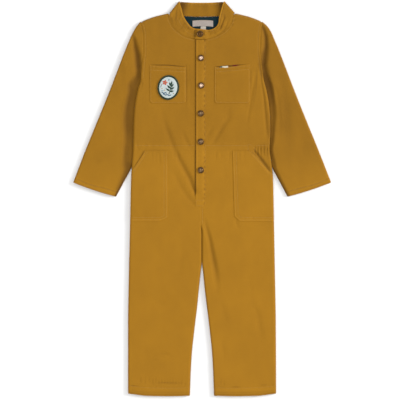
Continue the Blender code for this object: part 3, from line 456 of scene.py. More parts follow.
def bodice_front(side):
    sign = -1 if side == "right" else 1
    centre = UNDERLAP_X if side == "right" else UNDERLAP_X + 2 * SEAM_GAP
    last_angle = 8.6 if side == "right" else 8.95
    angles = sign * np.linspace(90, 0, 31)
    if side == "right":
        angles = np.concatenate([angles, [4, last_angle]])
    else:
        angles = np.array([a for a in angles if a > last_angle + 1] + [last_angle])
    neck = np.array([neck_point(a)[0] for a in angles])
    neck[0] += sign * 2 * SEAM_GAP
    neck[-1] = centre
    shoulder_x = float(side_x(side, 417.0))
    start = shoulder_x - sign * ROLL
    outer = spread([start, sign * 81.5], 1.5)[1:]
    share = (np.concatenate([outer, neck]) - start) / (centre - start)
    tops = np.concatenate([[shoulder_x] * len(SIDE_TURNS), start + (centre - start) * share])
    share = np.concatenate([0 * SIDE_TURNS, share])[None, :]
    side_turn = np.concatenate([SIDE_TURNS, np.full(share.size - len(SIDE_TURNS), pi / 2)])[None, :]
    inner_turn = np.full_like(side_turn, pi / 2)
    on_shoulder = np.abs(tops) > SHOULDER[0][0]
    angle = np.arcsin(np.clip((tops - CENTRE_X) / NECK_WIDE, -1, 1))
    top_y = np.where(on_shoulder, shoulder_y(tops), NECK_Y - NECK_DEEP * np.cos(angle))
    rows = np.concatenate([spread([0, 0.06], 0.0034)[:-1], spread([0.06, 1.0], 0.0062)[:-1]])
    turns = np.radians(np.linspace(90, 0, 9))
    down = np.concatenate([rows, np.ones(len(turns))])[:, None]
    turn = np.concatenate([np.full(len(rows), pi / 2), turns])[:, None]
    y = np.where(down < 1, WAIST_Y + SEAM_GAP + (top_y - ROLL - WAIST_Y) * down, top_y - ROLL * (1 - np.cos(turn)))
    fall = 1 - on_shoulder * (1 - np.sin(turn))
    drops = ease(y[:, :1], UNDERARM_Y + 4, UNDERARM_Y - 14), np.zeros((len(y), 1))
    grid, painted_shading = front_grid(side, share, side_turn, inner_turn, y, np.zeros((len(y), 1)), drops,
                               lambda at: np.full(at.shape, centre), 0, 3, len(y) - 1, fall)
    return shell(f"front_bodice_{side}_cloth", grid, PANEL_THICK, painted_shading=painted_shading)


def leg_front(side):
    sign = -1 if side == "right" else 1
    edge, centre = float(side_x(side, WAIST_Y)) - sign * ROLL, CENTRE_X + sign * ROLL
    flat = np.linspace(0, 1, 84)[1:-1]
    share = np.concatenate([0 * SIDE_TURNS, flat, np.ones(9)])[None, :]
    side_turn = np.concatenate([SIDE_TURNS, np.full(len(flat) + 9, pi / 2)])[None, :]
    inner_turn = np.concatenate([np.full(len(flat) + 9, pi / 2), SIDE_TURNS[::-1]])[None, :]
    down = np.concatenate([spread([0, 0.04], 0.0025)[:-1], spread([0.04, 0.955], 0.0042)[:-1],
                           spread([0.955, 1.0], 0.0021)])[:, None]
    hem = smooth(share, HEM)
    turned = hem_turn()
    level = WAIST_Y - SEAM_GAP + (hem + FOLD_RADIUS - WAIST_Y) * down
    y = np.concatenate([level, hem + np.array([short for _, short in turned])[:, None]])
    inset = np.concatenate([np.zeros(len(down)), [deep for deep, _ in turned]])[:, None]
    drops = np.ones((len(y), 1)), ease(y[:, -1:], -56, -74)
    grid, painted_shading = front_grid(side, share, side_turn, inner_turn, y, inset, drops, lambda at: inseam_x(side, at),
                               ROLL, 1, len(down) - 1, 1.0)
    return shell(f"front_leg_{side}_cloth", grid, PANEL_THICK, painted_shading=painted_shading)


# %% [markdown]
# ## Back panels
# The back lies on the floor, so nobody sees it from above, but a reusable model is turned over. Its waist
# is drawn in by elastic: many short gathers of uneven length that fade out above and below the seam.

# %% Back panels, seen from below
BACK_GATHERS = [(x + 2.2 * sin(1.7 * x), 9 + 6 * abs(sin(0.9 * x)), 0.7 + 0.5 * abs(sin(2.3 * x)))
                for x in np.arange(-150.0, 151.0, 8.4)]
BACK_CREASES = [[P(x, WAIST_Y + 6 + up, 0, 1.9), P(x + 0.5, WAIST_Y + 3, deep, 2.2), P(x, WAIST_Y - 3, deep, 2.2),
                 P(x - 1, WAIST_Y - 7 - up, 0, 1.9)] for x, up, deep in BACK_GATHERS]
BACK_CREASES += [
    [P(-8, -66, 0, 5), P(-24, -104, 1.2, 6), P(-34, -150, 1.3, 7), P(-36, -205, 0, 6)],
    [P(6, -62, 0, 5), P(20, -92, 1.0, 6), P(36, -132, 0.8, 7), P(42, -170, 0, 6)],
    [P(-60, 78, 0, 6), P(-36, 36, 0.8, 6), P(-12, -4, 1.0, 6), P(-6, -24, 0, 5)],
    [P(92, 60, 0, 7), P(60, 20, 0.7, 7), P(26, -22, 0.6, 7), P(12, -36, 0, 5)],
    [P(-122, 214, 0, 7), P(-96, 178, 0.6, 7), P(-80, 150, 0, 6)],
    [P(126, 236, 0, 7), P(104, 196, 0.7, 7), P(92, 160, 0, 6)],
    [P(-40, 392, 0, 8), P(0, 380, 0.5, 9), P(46, 390, 0, 8)],
    [P(-118, -300, 0, 6), P(-92, -312, 0.6, 6), P(-60, -306, 0, 6)],
    [P(112, -250, 0, 6), P(96, -286, 0.7, 6), P(100, -330, 0, 6)],
]
BACK_ROWS = [[(-150, 121.5), (150, 121.5)], [(-150, 108.8), (150, 108.8)], [(1.6, 104), (1.6, -72)],
             shoulder_row("right", 8.0), shoulder_row("left", 8.0), hem_row("right"), hem_row("left")]
BACK_GROOVES = [line([(-170, WAIST_Y), (170, WAIST_Y)], 0.8, 1.6), line([(CENTRE_X, 110), (CENTRE_X, -76)], 0.8, 1.5)]
UNDER_TURNS = np.radians(np.linspace(0, 90, 6))


def back_grid(left, right, share, ys, inset):
    """The underside, flat on the floor: both edges roll up to the front's, and creases press it upwards."""
    turn = np.concatenate([UNDER_TURNS, np.full(len(share), pi / 2), UNDER_TURNS[::-1]])[None, :]
    part = np.concatenate([0 * UNDER_TURNS, share, 1 + 0 * UNDER_TURNS])[None, :]
    rolled = UNDER_ROLL * (1 - np.cos(turn)) + inset * np.cos(turn)
    left, right = left + np.where(part < 0.5, rolled, UNDER_ROLL), right - np.where(part > 0.5, rolled, UNDER_ROLL)
    x = left + (right - left) * part
    sunk = np.maximum(relief(x, ys, BACK_CREASES + BACK_GROOVES) + stitched(x, ys, BACK_ROWS), 0)
    return np.dstack([x, ys + 0 * x, UNDER_ROLL * (1 - np.sin(turn)) + (inset + sunk * 0.8) * np.sin(turn)])


def bodice_back():
    share = np.linspace(0, 1, 110)[1:-1]
    top_left, top_right = float(side_x("right", 417.0)), float(side_x("left", 417.0))
    flat = np.concatenate([0 * UNDER_TURNS, share, 1 + 0 * UNDER_TURNS])
    tops = top_left + (top_right - top_left) * flat
    top_y = np.where(np.abs(tops) >= 79, shoulder_y(tops), back_neck_y(tops) - 0.4)
    along = spread([0, 0.01, 0.03, 1.0], 0.012)[:, None]
    ys = WAIST_Y + SEAM_GAP + (top_y - WAIST_Y - SEAM_GAP) * along
    grid = back_grid(side_x("right", ys[:, :1]), side_x("left", ys[:, -1:]), share, ys, np.zeros((len(ys), 1)))
    grid[-1, :, 2] += 0.5
    return shell("back_bodice_cloth", grid, PANEL_THICK, facing=-1)


def leg_back(side):
    share = np.linspace(0, 1, 60)[1:-1]
    flat = np.concatenate([0 * UNDER_TURNS, share, 1 + 0 * UNDER_TURNS])[None, :]
    hem = smooth(flat if side == "right" else 1 - flat, HEM)
    down = spread([0, 0.004, 0.012, 0.96, 1.0], 0.0065)[:, None]
    turned = [(deep * 0.8, short) for deep, short in hem_turn()[:7]]
    level = WAIST_Y - SEAM_GAP + (hem + FOLD_RADIUS - WAIST_Y) * down
    ys = np.concatenate([level, hem + np.array([short for _, short in turned])[:, None]])
    inset = np.concatenate([np.zeros(len(down)), [deep for deep, _ in turned]])[:, None]
    ends = [side_x(side, ys[:, :1]), inseam_x(side, ys[:, -1:])]
    if side == "left":
        ends = [inseam_x(side, ys[:, :1]), side_x(side, ys[:, -1:])]
    return shell(f"back_leg_{side}_cloth", back_grid(ends[0], ends[1], share, ys, inset), PANEL_THICK, facing=-1)


# %% [markdown]
# ## Sleeves
# A sleeve is a tube that lies flat beside the body. Its rings run slanted, from the outer fold to the
# inner one, and follow the armhole's curve at the top. Along the body the cloth dips into a soft valley.

# %% Sleeves with turned-up cuffs
SLEEVE_WIDEST_Z, LOWER_ROLL = 2.6, 2.5
SLEEVE_GRAIN = {"right": 68.8, "left": 111.2}


def inner_fold_x(side, y):
    """How far from the middle a sleeve's inner fold lies: beside the body, then on its own way to the cuff."""
    leaves_x = abs(float(side_x(side, SLEEVE_LEAVES_BODY_Y)))
    free_x = leaves_x + (CUFF_INNER[0] - leaves_x) * (SLEEVE_LEAVES_BODY_Y - y) / (SLEEVE_LEAVES_BODY_Y - CUFF_INNER[1])
    return np.where(y > SLEEVE_LEAVES_BODY_Y, np.abs(side_x(side, y)), free_x) + ARM_GAP


def sleeve_edge_points(side, t):
    """The inner and the outer fold of a sleeve where its rings are numbered t, from 0 to 1."""
    sign = -1 if side == "right" else 1
    numbered = [(i / (len(SLEEVE_RINGS) - 1), *ring) for i, ring in enumerate(SLEEVE_RINGS)]
    outer_y, inner_y = smooth(t, numbered, 1), smooth(t, numbered, 2)
    outer_x = smooth(outer_y, SLEEVE_EDGE, 1 if side == "right" else 2) + ARMHOLE_GAP * np.clip(1 - 16 * t, 0, 1)
    return np.stack([sign * inner_fold_x(side, inner_y), inner_y], -1), np.stack([sign * outer_x, outer_y], -1)


Valley = namedtuple("Valley", "y depth floor crest dark")
VALLEYS = {  # along each sleeve's inner fold: depth, how wide its floor is, where its slope ends and how dark the painted shade is there
    "right": [Valley(304, 0.0, 3, 12, 0.0), Valley(292, 2.4, 9, 24, 0.18), Valley(270, 4.0, 20, 31, 0.42),
              Valley(252, 4.5, 15, 27, 0.53), Valley(215, 4.4, 17, 28, 0.51), Valley(190, 4.4, 17, 29, 0.50),
              Valley(163, 4.3, 15, 27, 0.54), Valley(140, 4.0, 14, 27, 0.47), Valley(116, 3.9, 18, 27, 0.42),
              Valley(97, 3.8, 17, 27, 0.44), Valley(81, 3.4, 12, 26, 0.62), Valley(58, 2.8, 6, 17, 0.66),
              Valley(30, 2.4, 4, 12, 0.62), Valley(8, 2.2, 2, 8, 0.5)],
    "left": [Valley(300, 0.0, 3, 10, 0.0), Valley(286, 3.0, 8, 16, 0.26), Valley(269, 4.3, 10, 18, 0.48),
             Valley(252, 4.5, 11, 17, 0.56), Valley(234, 4.3, 9, 16, 0.48), Valley(215, 4.0, 7, 17, 0.37),
             Valley(198, 3.8, 6, 16, 0.33), Valley(163, 3.4, 4, 11, 0.31), Valley(140, 3.3, 4, 10, 0.40),
             Valley(116, 3.2, 2, 7, 0.44), Valley(97, 3.0, 3, 9, 0.44), Valley(81, 3.0, 4, 11, 0.42),
             Valley(50, 2.6, 2, 9, 0.42), Valley(8, 2.2, 1, 7, 0.38)],
}
SLEEVE_SHADES = {  # painted shade beside the armhole, and a soft streak down the left sleeve
    "right": [[P(-157, 362, 0.06, 4), P(-151, 340, 0.18, 7), P(-149.5, 316, 0.22, 8), P(-147, 292, 0.03, 8)],
              [P(-141, 412, 0.10, 3), P(-140, 396, 0.12, 3)]],
    "left": [[P(141, 412, 0.1, 2.5), P(144.5, 401, 0.26, 3), P(148, 392, 0.12, 3)], [P(150, 386, 0.16, 4), P(152, 362, 0.12, 4), P(148, 338, 0.10, 7), P(146, 316, 0.14, 7),
              P(150, 292, 0.1, 8), P(157, 268, 0.14, 7)],
             [P(192, 268, 0.0, 12), P(199, 220, 0.05, 16), P(202, 150, 0.07, 15), P(206, 92, 0.0, 12)]],
}


def sleeve_falloff_shade(side, y):
    """Painted shade along each sleeve: darker towards its top, and the left sleeve darker than the right."""
    if side == "right":
        return 0.03 + 0.12 * ease(y, 20, 140) + 0.05 * ease(y, 200, 330)
    return 0.09 + 0.15 * ease(y, 40, 120) + 0.04 * ease(y, 250, 330)


def valley(side, x, y):
    """How deep the sleeve sinks beside its inner fold, and the painted shade there: a dark band, painted lighter close
    to the right sleeve's fold.
    """
    depth, floor, crest, dark = (smooth(y, VALLEYS[side], n) for n in (1, 2, 3, 4))
    away = np.abs(x) - inner_fold_x(side, y)
    painted_light = 0.38 * ease(y, 70, 100) * np.exp(-((away / 6.0) ** 2)) if side == "right" else 0
    return depth * (1 - ease(away, floor, crest)), dark * (1 - ease(away, floor - 2, crest + 4)) * (1 - painted_light)


CUFF_ROW_UP = 10.6
CUFF_ROWS, UNDER_CUFF_ROWS = {}, {}
for side in ("right", "left"):
    inner, outer = sleeve_edge_points(side, np.array([1.0]))
    up_way = np.array([0.31 if side == "right" else -0.31, 0.95])
    for rows_of, drift in ((CUFF_ROWS, 1.2), (UNDER_CUFF_ROWS, 0.0)):
        share = np.linspace(0.0, 1.0, 11)[:, None]
        row = inner[0] + (outer[0] - inner[0]) * (0.02 + 0.96 * share)
        row = row + up_way * (CUFF_ROW_UP + drift * np.sin(share * 7) - CUFF_BOW * 4 * share * (1 - share))
        rows_of[side] = [tuple(p) for p in row]


def sleeve(side):
    sign = -1 if side == "right" else 1
    t = np.concatenate([spread([0, 0.06, 0.935], 0.0075)[:-1], spread([0.935, 0.9985], 0.0024)])
    turned = hem_turn(CUFF_DEEP)
    ts = np.concatenate([t, np.ones(len(turned))])
    inset = np.concatenate([0 * t, [deep for deep, _ in turned]])
    short = np.concatenate([0 * t, [gap for _, gap in turned]])
    inner, outer = sleeve_edge_points(side, ts)
    down_way = (inner[-1] + outer[-1] - sum(sleeve_edge_points(side, np.array([0.97])))[0])
    down_way /= np.hypot(*down_way)
    width = np.hypot(*(outer - inner).T)
    cap = np.clip(1 - 2 * ts, 0, 1) ** 1.5
    quarter, shares = np.linspace(0, 90, 8), np.linspace(0, 1, 44)[1:-1]
    places = [(0.0, a, 1) for a in quarter] + [(s, 90, 1) for s in shares] + [(1.0, a, 1) for a in quarter[::-1]]
    places += [(1.0, a, -1) for a in quarter[1:]] + [(s, 90, -1) for s in shares[::-2]] + [(0.0, a, -1) for a in quarter[:0:-1]]
    grid, painted_shading = np.zeros((len(ts), len(places), 3)), np.zeros((len(ts), len(places)))
    for i, (share, angle, up) in enumerate(places):
        turn = radians(angle)
        roll = ROLL if up > 0 else LOWER_ROLL
        roll_in = roll * (1 - cos(turn)) + inset * cos(turn)
        across = (roll + (width - 2 * roll) * share) / width
        if share in (0.0, 1.0):
            across = roll_in / width if share == 0 else 1 - roll_in / width
        bow = CUFF_BOW * ease(ts, 0.85, 1.0) * 4 * across * (1 - across)
        at = inner + (outer - inner) * across[:, None] + down_way * (bow - short)[:, None]
        at[:, 0] += (side_x(side, at[0, 1]) + sign * ARMHOLE_GAP - at[0, 0]) * cap
        far = (HEIGHT - SLEEVE_WIDEST_Z if up > 0 else SLEEVE_WIDEST_Z) - inset
        z = SLEEVE_WIDEST_Z + up * far * sin(turn)
        x, y = at.T
        grooves = [line(armhole(side), 0.6, 2.0)] if up > 0 else []
        rows = [CUFF_ROWS[side]] if up > 0 else [UNDER_CUFF_ROWS[side]]
        creases = SLEEVE_CREASES[side] if up > 0 else [[p._replace(depth=0.4 * p.depth) for p in c]
                                                       for c in SLEEVE_CREASES[side][1:]]
        folds = relief(x, y, creases)
        sunk = folds + relief(x, y, grooves) + stitched(x, y, rows) - waves(x + 40, y) * (up > 0)
        # painted shade: darker towards the top, in the valley and the folds, in streaks by the armhole, and in a dark
        # line along the cuff's stitching with painted highlights above and below it
        painted_shading[:, i] = sleeve_falloff_shade(side, y) - falloff_shade(y)
        if up < 0:
            sunk = np.maximum(sunk, 0)
        else:
            deep, dark = valley(side, x, y)
            sunk = np.minimum(sunk + deep, HEIGHT - SLEEVE_WIDEST_Z - 0.2)
            cuff = [P(*point, 0.24, 1.3) for point in CUFF_ROWS[side]]
            painted_shading[:, i] += (dark + 0.09 * np.maximum(folds, 0) + relief(x, y, SLEEVE_SHADES[side], 0)
                              + relief(x, y, [cuff], 0) - 0.6 * relief(x, y - 3.1, [cuff], 0)
                              - 0.5 * relief(x, y + 3.0, [cuff], 0))
            # painted shade along the inner fold where the sleeve leaves the body
            if share == 0.0:
                painted_shading[:, i] += (1.0 if side == "right" else 0.4) * cos(turn) ** 0.7 * ease(y, 84, 70)
        grid[:, i] = np.column_stack([x, y, z - up * sunk * sin(turn) * (1 if up > 0 else 0.6)])
    return shell(f"sleeve_{side}_cloth", grid, PANEL_THICK, ring=True, grain=SLEEVE_GRAIN[side], painted_shading=painted_shading)


# %% Build the panels
pieces = {}
for make, args in ((bodice_back, ()), (leg_back, ("right",)), (leg_back, ("left",)), (bodice_front, ("right",)),
                   (bodice_front, ("left",)), (leg_front, ("right",)), (leg_front, ("left",)),
                   (sleeve, ("right",)), (sleeve, ("left",))):
    made = make(*args)
    pieces[made.name.removesuffix("_cloth")] = made
print("panels:", len(pieces))

# %% [markdown]
# ## Collar
# The stand collar is one band, two layers thick with a folded top edge. It starts under the lap at the
# centre front, runs round the back of the neck, lying flat there with its inside up, and laps over itself.

# %% Collar band
COLLAR_FRONT = [(-90, -50.9, 459.0), (-78, -46.8, 446.6), (-66, -44.1, 435.0), (-54, -39.5, 425.0),
                (-42, -32.5, 414.6), (-30, -25.0, 406.2), (-18, -16.0, 401.8), (-6, -6.0, 400.6),
                (8.2, 7.6, 399.4), (18, 15.6, 398.4), (30, 26.6, 401.2), (42, 35.0, 407.6), (54, 39.2, 415.4),
                (66, 40.6, 427.4), (78, 43.7, 440.0), (90, 48.6, 457.5)]  # neckline angle, x, y of the free edge
FOLD_BASE = {"right": np.array([-75.7, 438.5]), "left": np.array([77.8, 438.5])}
FOLD_TOP = {"right": np.array([-53.5, 466.2]), "left": np.array([53.5, 466.2])}
BACK_BASE, BACK_TOP, BACK_TOP_Y = (-73.0, 75.3), (-50.1, 50.1), 464.7  # behind the neck: its ends and its top
LAP_ANGLE, LAP_LIFT, COLLAR_THICK, BACK_TOP_DIP = -10.7, 2.3, 2.0, 2.0


COLLAR_CREASES = [
    [P(54, 432, 0, 2.5), P(50, 420, 1.1, 2.6), P(43.5, 404, 1.3, 2.4), P(37, 396, 0, 2.2)],
    [P(66, 430, 0, 3), P(58, 412, 0.6, 3), P(50, 396, 0, 3)],
    [P(30, 403, 0, 2.5), P(30, 392, 0.7, 2.4), P(34, 384, 0, 2)],
    [P(18, 399, 0, 2), P(19, 390, 0.6, 2.2), P(17, 381, 0, 2)],
    [P(-50, 441, 0, 2.5), P(-55, 424, 0.9, 2.8), P(-62, 412, 0, 2.5)],
    [P(-62, 446, 0, 3), P(-68, 432, 0.8, 3), P(-70, 420, 0, 3)],
    [P(-38, 420, 0, 2.4), P(-47, 406, 0.9, 2.8), P(-56, 397, 0, 2.4)],
    [P(-26, 406, 0, 2.2), P(-32, 394, 0.7, 2.5), P(-40, 385, 0, 2.2)],
    [P(-14, 401, 0, 2), P(-17, 390, 0.6, 2.2), P(-21, 381, 0, 2)],
]
COLLAR_SHADES = [  # painted shade: dark lines on the band
    [P(52, 438, 0.1, 1.6), P(54.4, 427, 0.35, 1.7), P(47.6, 410, 0.35, 1.6), P(43, 394, 0, 1.6)],
    [P(62, 414, 0, 1.5), P(52.3, 396, 0.16, 1.5), P(33.5, 382, 0.16, 1.5), P(17, 375.5, 0.05, 1.5)],
    [P(-56, 458, 0.05, 1.3), P(-59.3, 440.6, 0.3, 1.4), P(-60.5, 421, 0.22, 1.4), P(-58, 408, 0, 1.3)],
    [P(-74.6, 434, 0.1, 1.6), P(-71, 424, 0.3, 1.6), P(-67, 412, 0.05, 1.6)],
    [P(-34, 407, 0.1, 2), P(-31, 402, 0.4, 2.2), P(-27, 398, 0.05, 2)],
    line([(-16.4, 397), (-16.4, 384)], 0.5, 1.4),
    line([(-12.6, 391), (-12.6, 387)], 0.35, 1.8), line([(4.8, 391), (4.8, 387)], 0.4, 1.8),  # either side of the snap
]
COLLAR_HIGHLIGHTS = [  # and painted highlights: light lines on the band
    [P(60, 424, 0, 1.6), P(52, 402, 0.13, 1.7), P(33.5, 388, 0.13, 1.7), P(17, 384, 0.05, 1.6)],
    [P(-61.5, 452, 0, 1.6), P(-65, 436, 0.12, 1.7), P(-66.4, 422, 0.1, 1.7), P(-64, 408, 0, 1.6)],
    line([(8.4, 390), (6.0, 382.4), (0, 379.2), (-8, 379.6), (-12, 382)], 0.24, 1.5),
]
FOLD_LEAN = 0.72, 0.69  # the collar's side folds face outwards and up the page


def collar():
    """Stations round the neck carry the band's base, its free edge, its height, its tilt and its painted shade, dark
    where the side folds turn back and at both ends of the back band.
    """
    stations = []

    def front(angles, lifts):
        for angle, lift in zip(angles, lifts):
            top = [float(smooth(angle, COLLAR_FRONT, n)) for n in (1, 2)]
            stations.append((*neck_point(angle, 0.3), *top, HEIGHT - COLLAR_THICK / 2 + lift, 90, 0.0))

    def side_fold(side, turns):
        base, top = FOLD_BASE[side], FOLD_TOP[side]
        way = (top - base) / np.hypot(*(top - base))
        inward = np.array([way[1], -way[0]]) * (1 if side == "right" else -1)
        radius = HEIGHT / 2 - COLLAR_THICK / 2
        for turn in turns:
            shift = inward * (HEIGHT / 2 - radius * cos(radians(turn)))
            # the last value is painted shade, dark where the fold turns towards the back band
            stations.append((*(base + shift), *(top + shift), HEIGHT / 2 + radius * sin(radians(turn)), turn,
                             0.85 * float(ease(-turn, -30, 60))))

    front(np.arange(8.2, -90, -1.5), [0.0] * 70)
    side_fold("right", np.arange(75, -91, -15))
    for share in np.linspace(0, 1, 45)[1:-1]:
        x_base, x_top = (a + (b - a) * share for a, b in (BACK_BASE, BACK_TOP))
        dip = BACK_TOP_DIP * (1 - (2 * share - 1) ** 2)
        # painted shadow inside the collar, darkest at both ends of the back band
        shade = 0.08 + 0.8 * float(1 - ease(min(share, 1 - share), 0.01, 0.27))
        stations.append((x_base, back_neck_y(x_base), x_top, BACK_TOP_Y - dip, COLLAR_THICK / 2, -90, shade))
    side_fold("left", np.arange(-90, 76, 15))
    front(np.arange(90, 14, -1.5), [0.0] * 70)
    front([12.5, 10.5, 8.9, 6, 2, -2, -6, LAP_ANGLE], [0.4, 1.5] + [LAP_LIFT] * 6)
    table = np.array(stations)
    base, top, middle, tilt, shade = table[:, 0:2], table[:, 2:4], table[:, 4], np.radians(table[:, 5]), table[:, 6]
    half = COLLAR_THICK / 2 - 0.05
    profile = [(s, 1.0) for s in np.linspace(0, 1, 30)[:-1]]
    profile += [(1 + half * (sin(a) - 1) / 30.0, cos(a)) for a in np.linspace(0.0, pi, 9)]
    profile += [(s, -1.0) for s in np.linspace(1, 0, 14)[1:]]
    run = np.concatenate([[0], np.cumsum(np.hypot(*np.diff(base, axis=0).T) + np.abs(np.diff(middle)))])
    tall = np.hypot(*(top - base).T)
    lean = np.column_stack([np.where(base[:, 0] < 0, -FOLD_LEAN[0], FOLD_LEAN[0]), np.full(len(base), FOLD_LEAN[1])])
    grid, painted_lines = np.zeros((len(base), len(profile), 3)), np.zeros((len(base), len(profile)))
    for j, (share, face) in enumerate(profile):
        at = base + (top - base) * share
        from_top = (1 - share) * tall
        groove = 0.4 * np.exp(-((share * tall / 1.8) ** 2))
        groove += 0.45 * (1 - ((from_top - 3.4) / 1.3) ** 2) * np.exp(-(((from_top - 3.4) / 1.3) ** 2))
        pucker = 0.24 * np.sin(run / 2.1 + 2 * share) * np.exp(-(((from_top - 3.4) / 4.5) ** 2))
        bulge = (0.4 * np.sin(run / 14 + 3 * share) + 0.26 * np.sin(run / 5.3 - 4 * share)) * sin(pi * min(share, 1.0))
        shown = face * np.sin(tilt) > 0
        # painted shade and painted highlights from the two line tables, on the faces that look up
        painted_lines[:, j] = (relief(*at.T, COLLAR_SHADES, 0) - relief(*at.T, COLLAR_HIGHLIGHTS, 0)) * (np.sin(tilt) > 0.5)
        rise = half - groove + (pucker + bulge - relief(at[:, 0], at[:, 1], COLLAR_CREASES)) * shown
        grid[:, j, :2] = at + lean * (face * half * np.cos(tilt))[:, None]
        grid[:, j, 2] = middle + face * np.minimum(rise, half + 0.45 * shown) * np.sin(tilt)
    flat = MM * np.dstack([np.broadcast_to(np.array([abs(s) * 30 + (40 if f < 0 else 0) for s, f in profile]), grid.shape[:2]),
                           np.broadcast_to(run[:, None], grid.shape[:2])])
    # painted highlight along the free edge, and a painted dark line inside it
    rim = np.array([0.46 * np.exp(-(((1 - s) * 30 - 0.8) / 1.9) ** 2) - 0.14 * np.exp(-(((1 - s) * 30 - 4.2) / 1.4) ** 2)
                    for s, _ in profile])
    blotch = 0.07 * np.sin(run / 6.5) * np.sin(run / 17 + 1)
    return shell("collar_cloth", grid, 0.7, flat=flat, painted_shading=shade[:, None] + blotch[:, None] - rim[None, :] + painted_lines)


pieces["collar"] = collar()

# %% [markdown]
# ## Trims that lie on the panels
# The pockets and the placket are patches of the same cord. Their edges are turned under, so they roll off
# over about a millimetre, and they follow every crease of the panel that they are sewn to.

# %% Patches that follow the panel below
PATCH_LIFT, PATCH_TALL = 0.15, 0.85
Patch = namedtuple("Patch", "side_edge centre_edge mouth_side mouth_centre bottom")
CHEST_POCKETS = {"right": Patch(-121.6, -37.0, 317.0, 312.5, 226.0), "left": Patch(113.4, 30.0, 318.3, 312.5, 226.0)}
HipPocket = namedtuple("HipPocket", "top_x inner_top inner_bottom mouth_end bottom chamfer_x chamfer_y")
HIP_POCKETS = {"right": HipPocket(-135.7, -80.0, -80.0, 66.0, -50.5, -96.5, 8.0),
               "left": HipPocket(120.4, 72.3, 77.0, 59.0, -50.9, 89.0, 12.0)}
PLACKET_LEFT, PLACKET_RIGHT, PLACKET_TOP, PLACKET_BOTTOM = -14.7, 10.0, 375.4, -16.7
SNAPS = [(-3.9, 388.9), (-1.8, 332.5), (-1.3, 267.9), (-2.2, 202.1), (-2.2, 135.6), (-2.2, 68.9)]


def rolled_off(distance, radius):
    """A turned edge's height, 0 at the edge and 1 from the radius inwards."""
    near = np.clip(distance / radius, 0, 1)
    return np.sqrt(np.clip(1 - (1 - near) ** 2, 0, 1))


def edge_steps(length, step, fine=(0, 0.12, 0.35, 0.7, 1.15, 1.7, 2.6)):
    """Places from 0 to the length, crowded at both ends."""
    inside = spread([fine[-1], length - fine[-1]], step)[1:-1]
    return np.concatenate([fine, inside, length - np.array(fine[::-1])])


def top_of_panel(x, y, sunk=True):
    """The front panels' height at a point, away from their rolled sides."""
    return HEIGHT - (relief(x, y, FRONT_CREASES) * 0.9 - waves(x, y) if sunk else 0)


def placket():
    ys = PLACKET_TOP - edge_steps(PLACKET_TOP - PLACKET_BOTTOM, 1.8)[:, None]
    xs = np.concatenate([PLACKET_LEFT + np.array([0, 0.1, 0.3, 0.6, 1.0, 1.5, 2.2]),
                         np.linspace(PLACKET_LEFT + 3.2, 6.6, 9), [7.4, 8.0, 8.6, 9.1, 9.5, 9.8, 10.0]])[None, :]
    lift = rolled_off(xs - PLACKET_LEFT, 1.1) * (1 - ease(xs, 0.5, 9.8)) * rolled_off(ys - PLACKET_BOTTOM, 1.1)
    z = top_of_panel(xs, ys) + PATCH_LIFT + (0.5 + 0.9 * ease(ys, 4, 20)) * lift
    for x, y in SNAPS[1:]:
        z = z - 0.45 * np.exp(-((np.hypot(xs - x, ys - y) - 7.0) / 3.5) ** 2)
    z = z - stitched(xs, ys, PLACKET_ROWS)
    # painted shade: a dark line along the left edge, where the placket's shadow falls, and a dotted row of painted
    # shade and light by the right-hand stitches; painted highlight: a light line just inside the left edge; then a
    # faint mottle, and the whole a little lighter
    edge = 0.85 * (1 - ease(xs - PLACKET_LEFT, 0.6, 2.2)) * ease(ys, 8, 18)
    dots = 0.8 + 0.9 * np.sin(ys / 2.0 + 2 * np.sin(ys / 17)) * np.sin(ys / 23 + 1)
    edge = edge + 0.4 * dots * np.exp(-(((xs - 8.0) / 1.6) ** 2)) - 0.2 * np.exp(-(((xs - PLACKET_LEFT - 3.6) / 1.4) ** 2))
    edge = edge + 0.14 * np.sin(ys / 2.9 + 3 * np.sin(ys / 31)) * np.sin(xs / 2.3 + ys / 9) * ease(xs, 0, 6)
    return shell("placket_cloth", np.dstack([xs + 0 * ys, ys + 0 * xs, z]), TRIM_THICK, painted_shading=edge - 0.05)


PLACKET_ROWS = [[(8.6, 374), (8.7, 200), (8.5, -15.5)], [(-12.6, -1.4), (8.2, -1.2)], [(-12.8, -14.8), (8.4, -15.0)],
                [(-13.0, -2), (-13.0, -14.5)]]


def pocket_rows(side):
    patch = CHEST_POCKETS[side]
    sign = 1 if patch.centre_edge > patch.side_edge else -1
    left, right = patch.side_edge + sign * 2.0, patch.centre_edge - sign * 2.0
    low = patch.bottom + 2.2
    rows = [[(left, patch.mouth_side - 2), (left, low + 4), (left + sign * 4, low), (right - sign * 4, low),
             (right, low + 4), (right, patch.mouth_centre - 2)]]
    return rows + [[(left, patch.mouth_side - d), (right, patch.mouth_centre - d)] for d in (4.8, 12.6)]


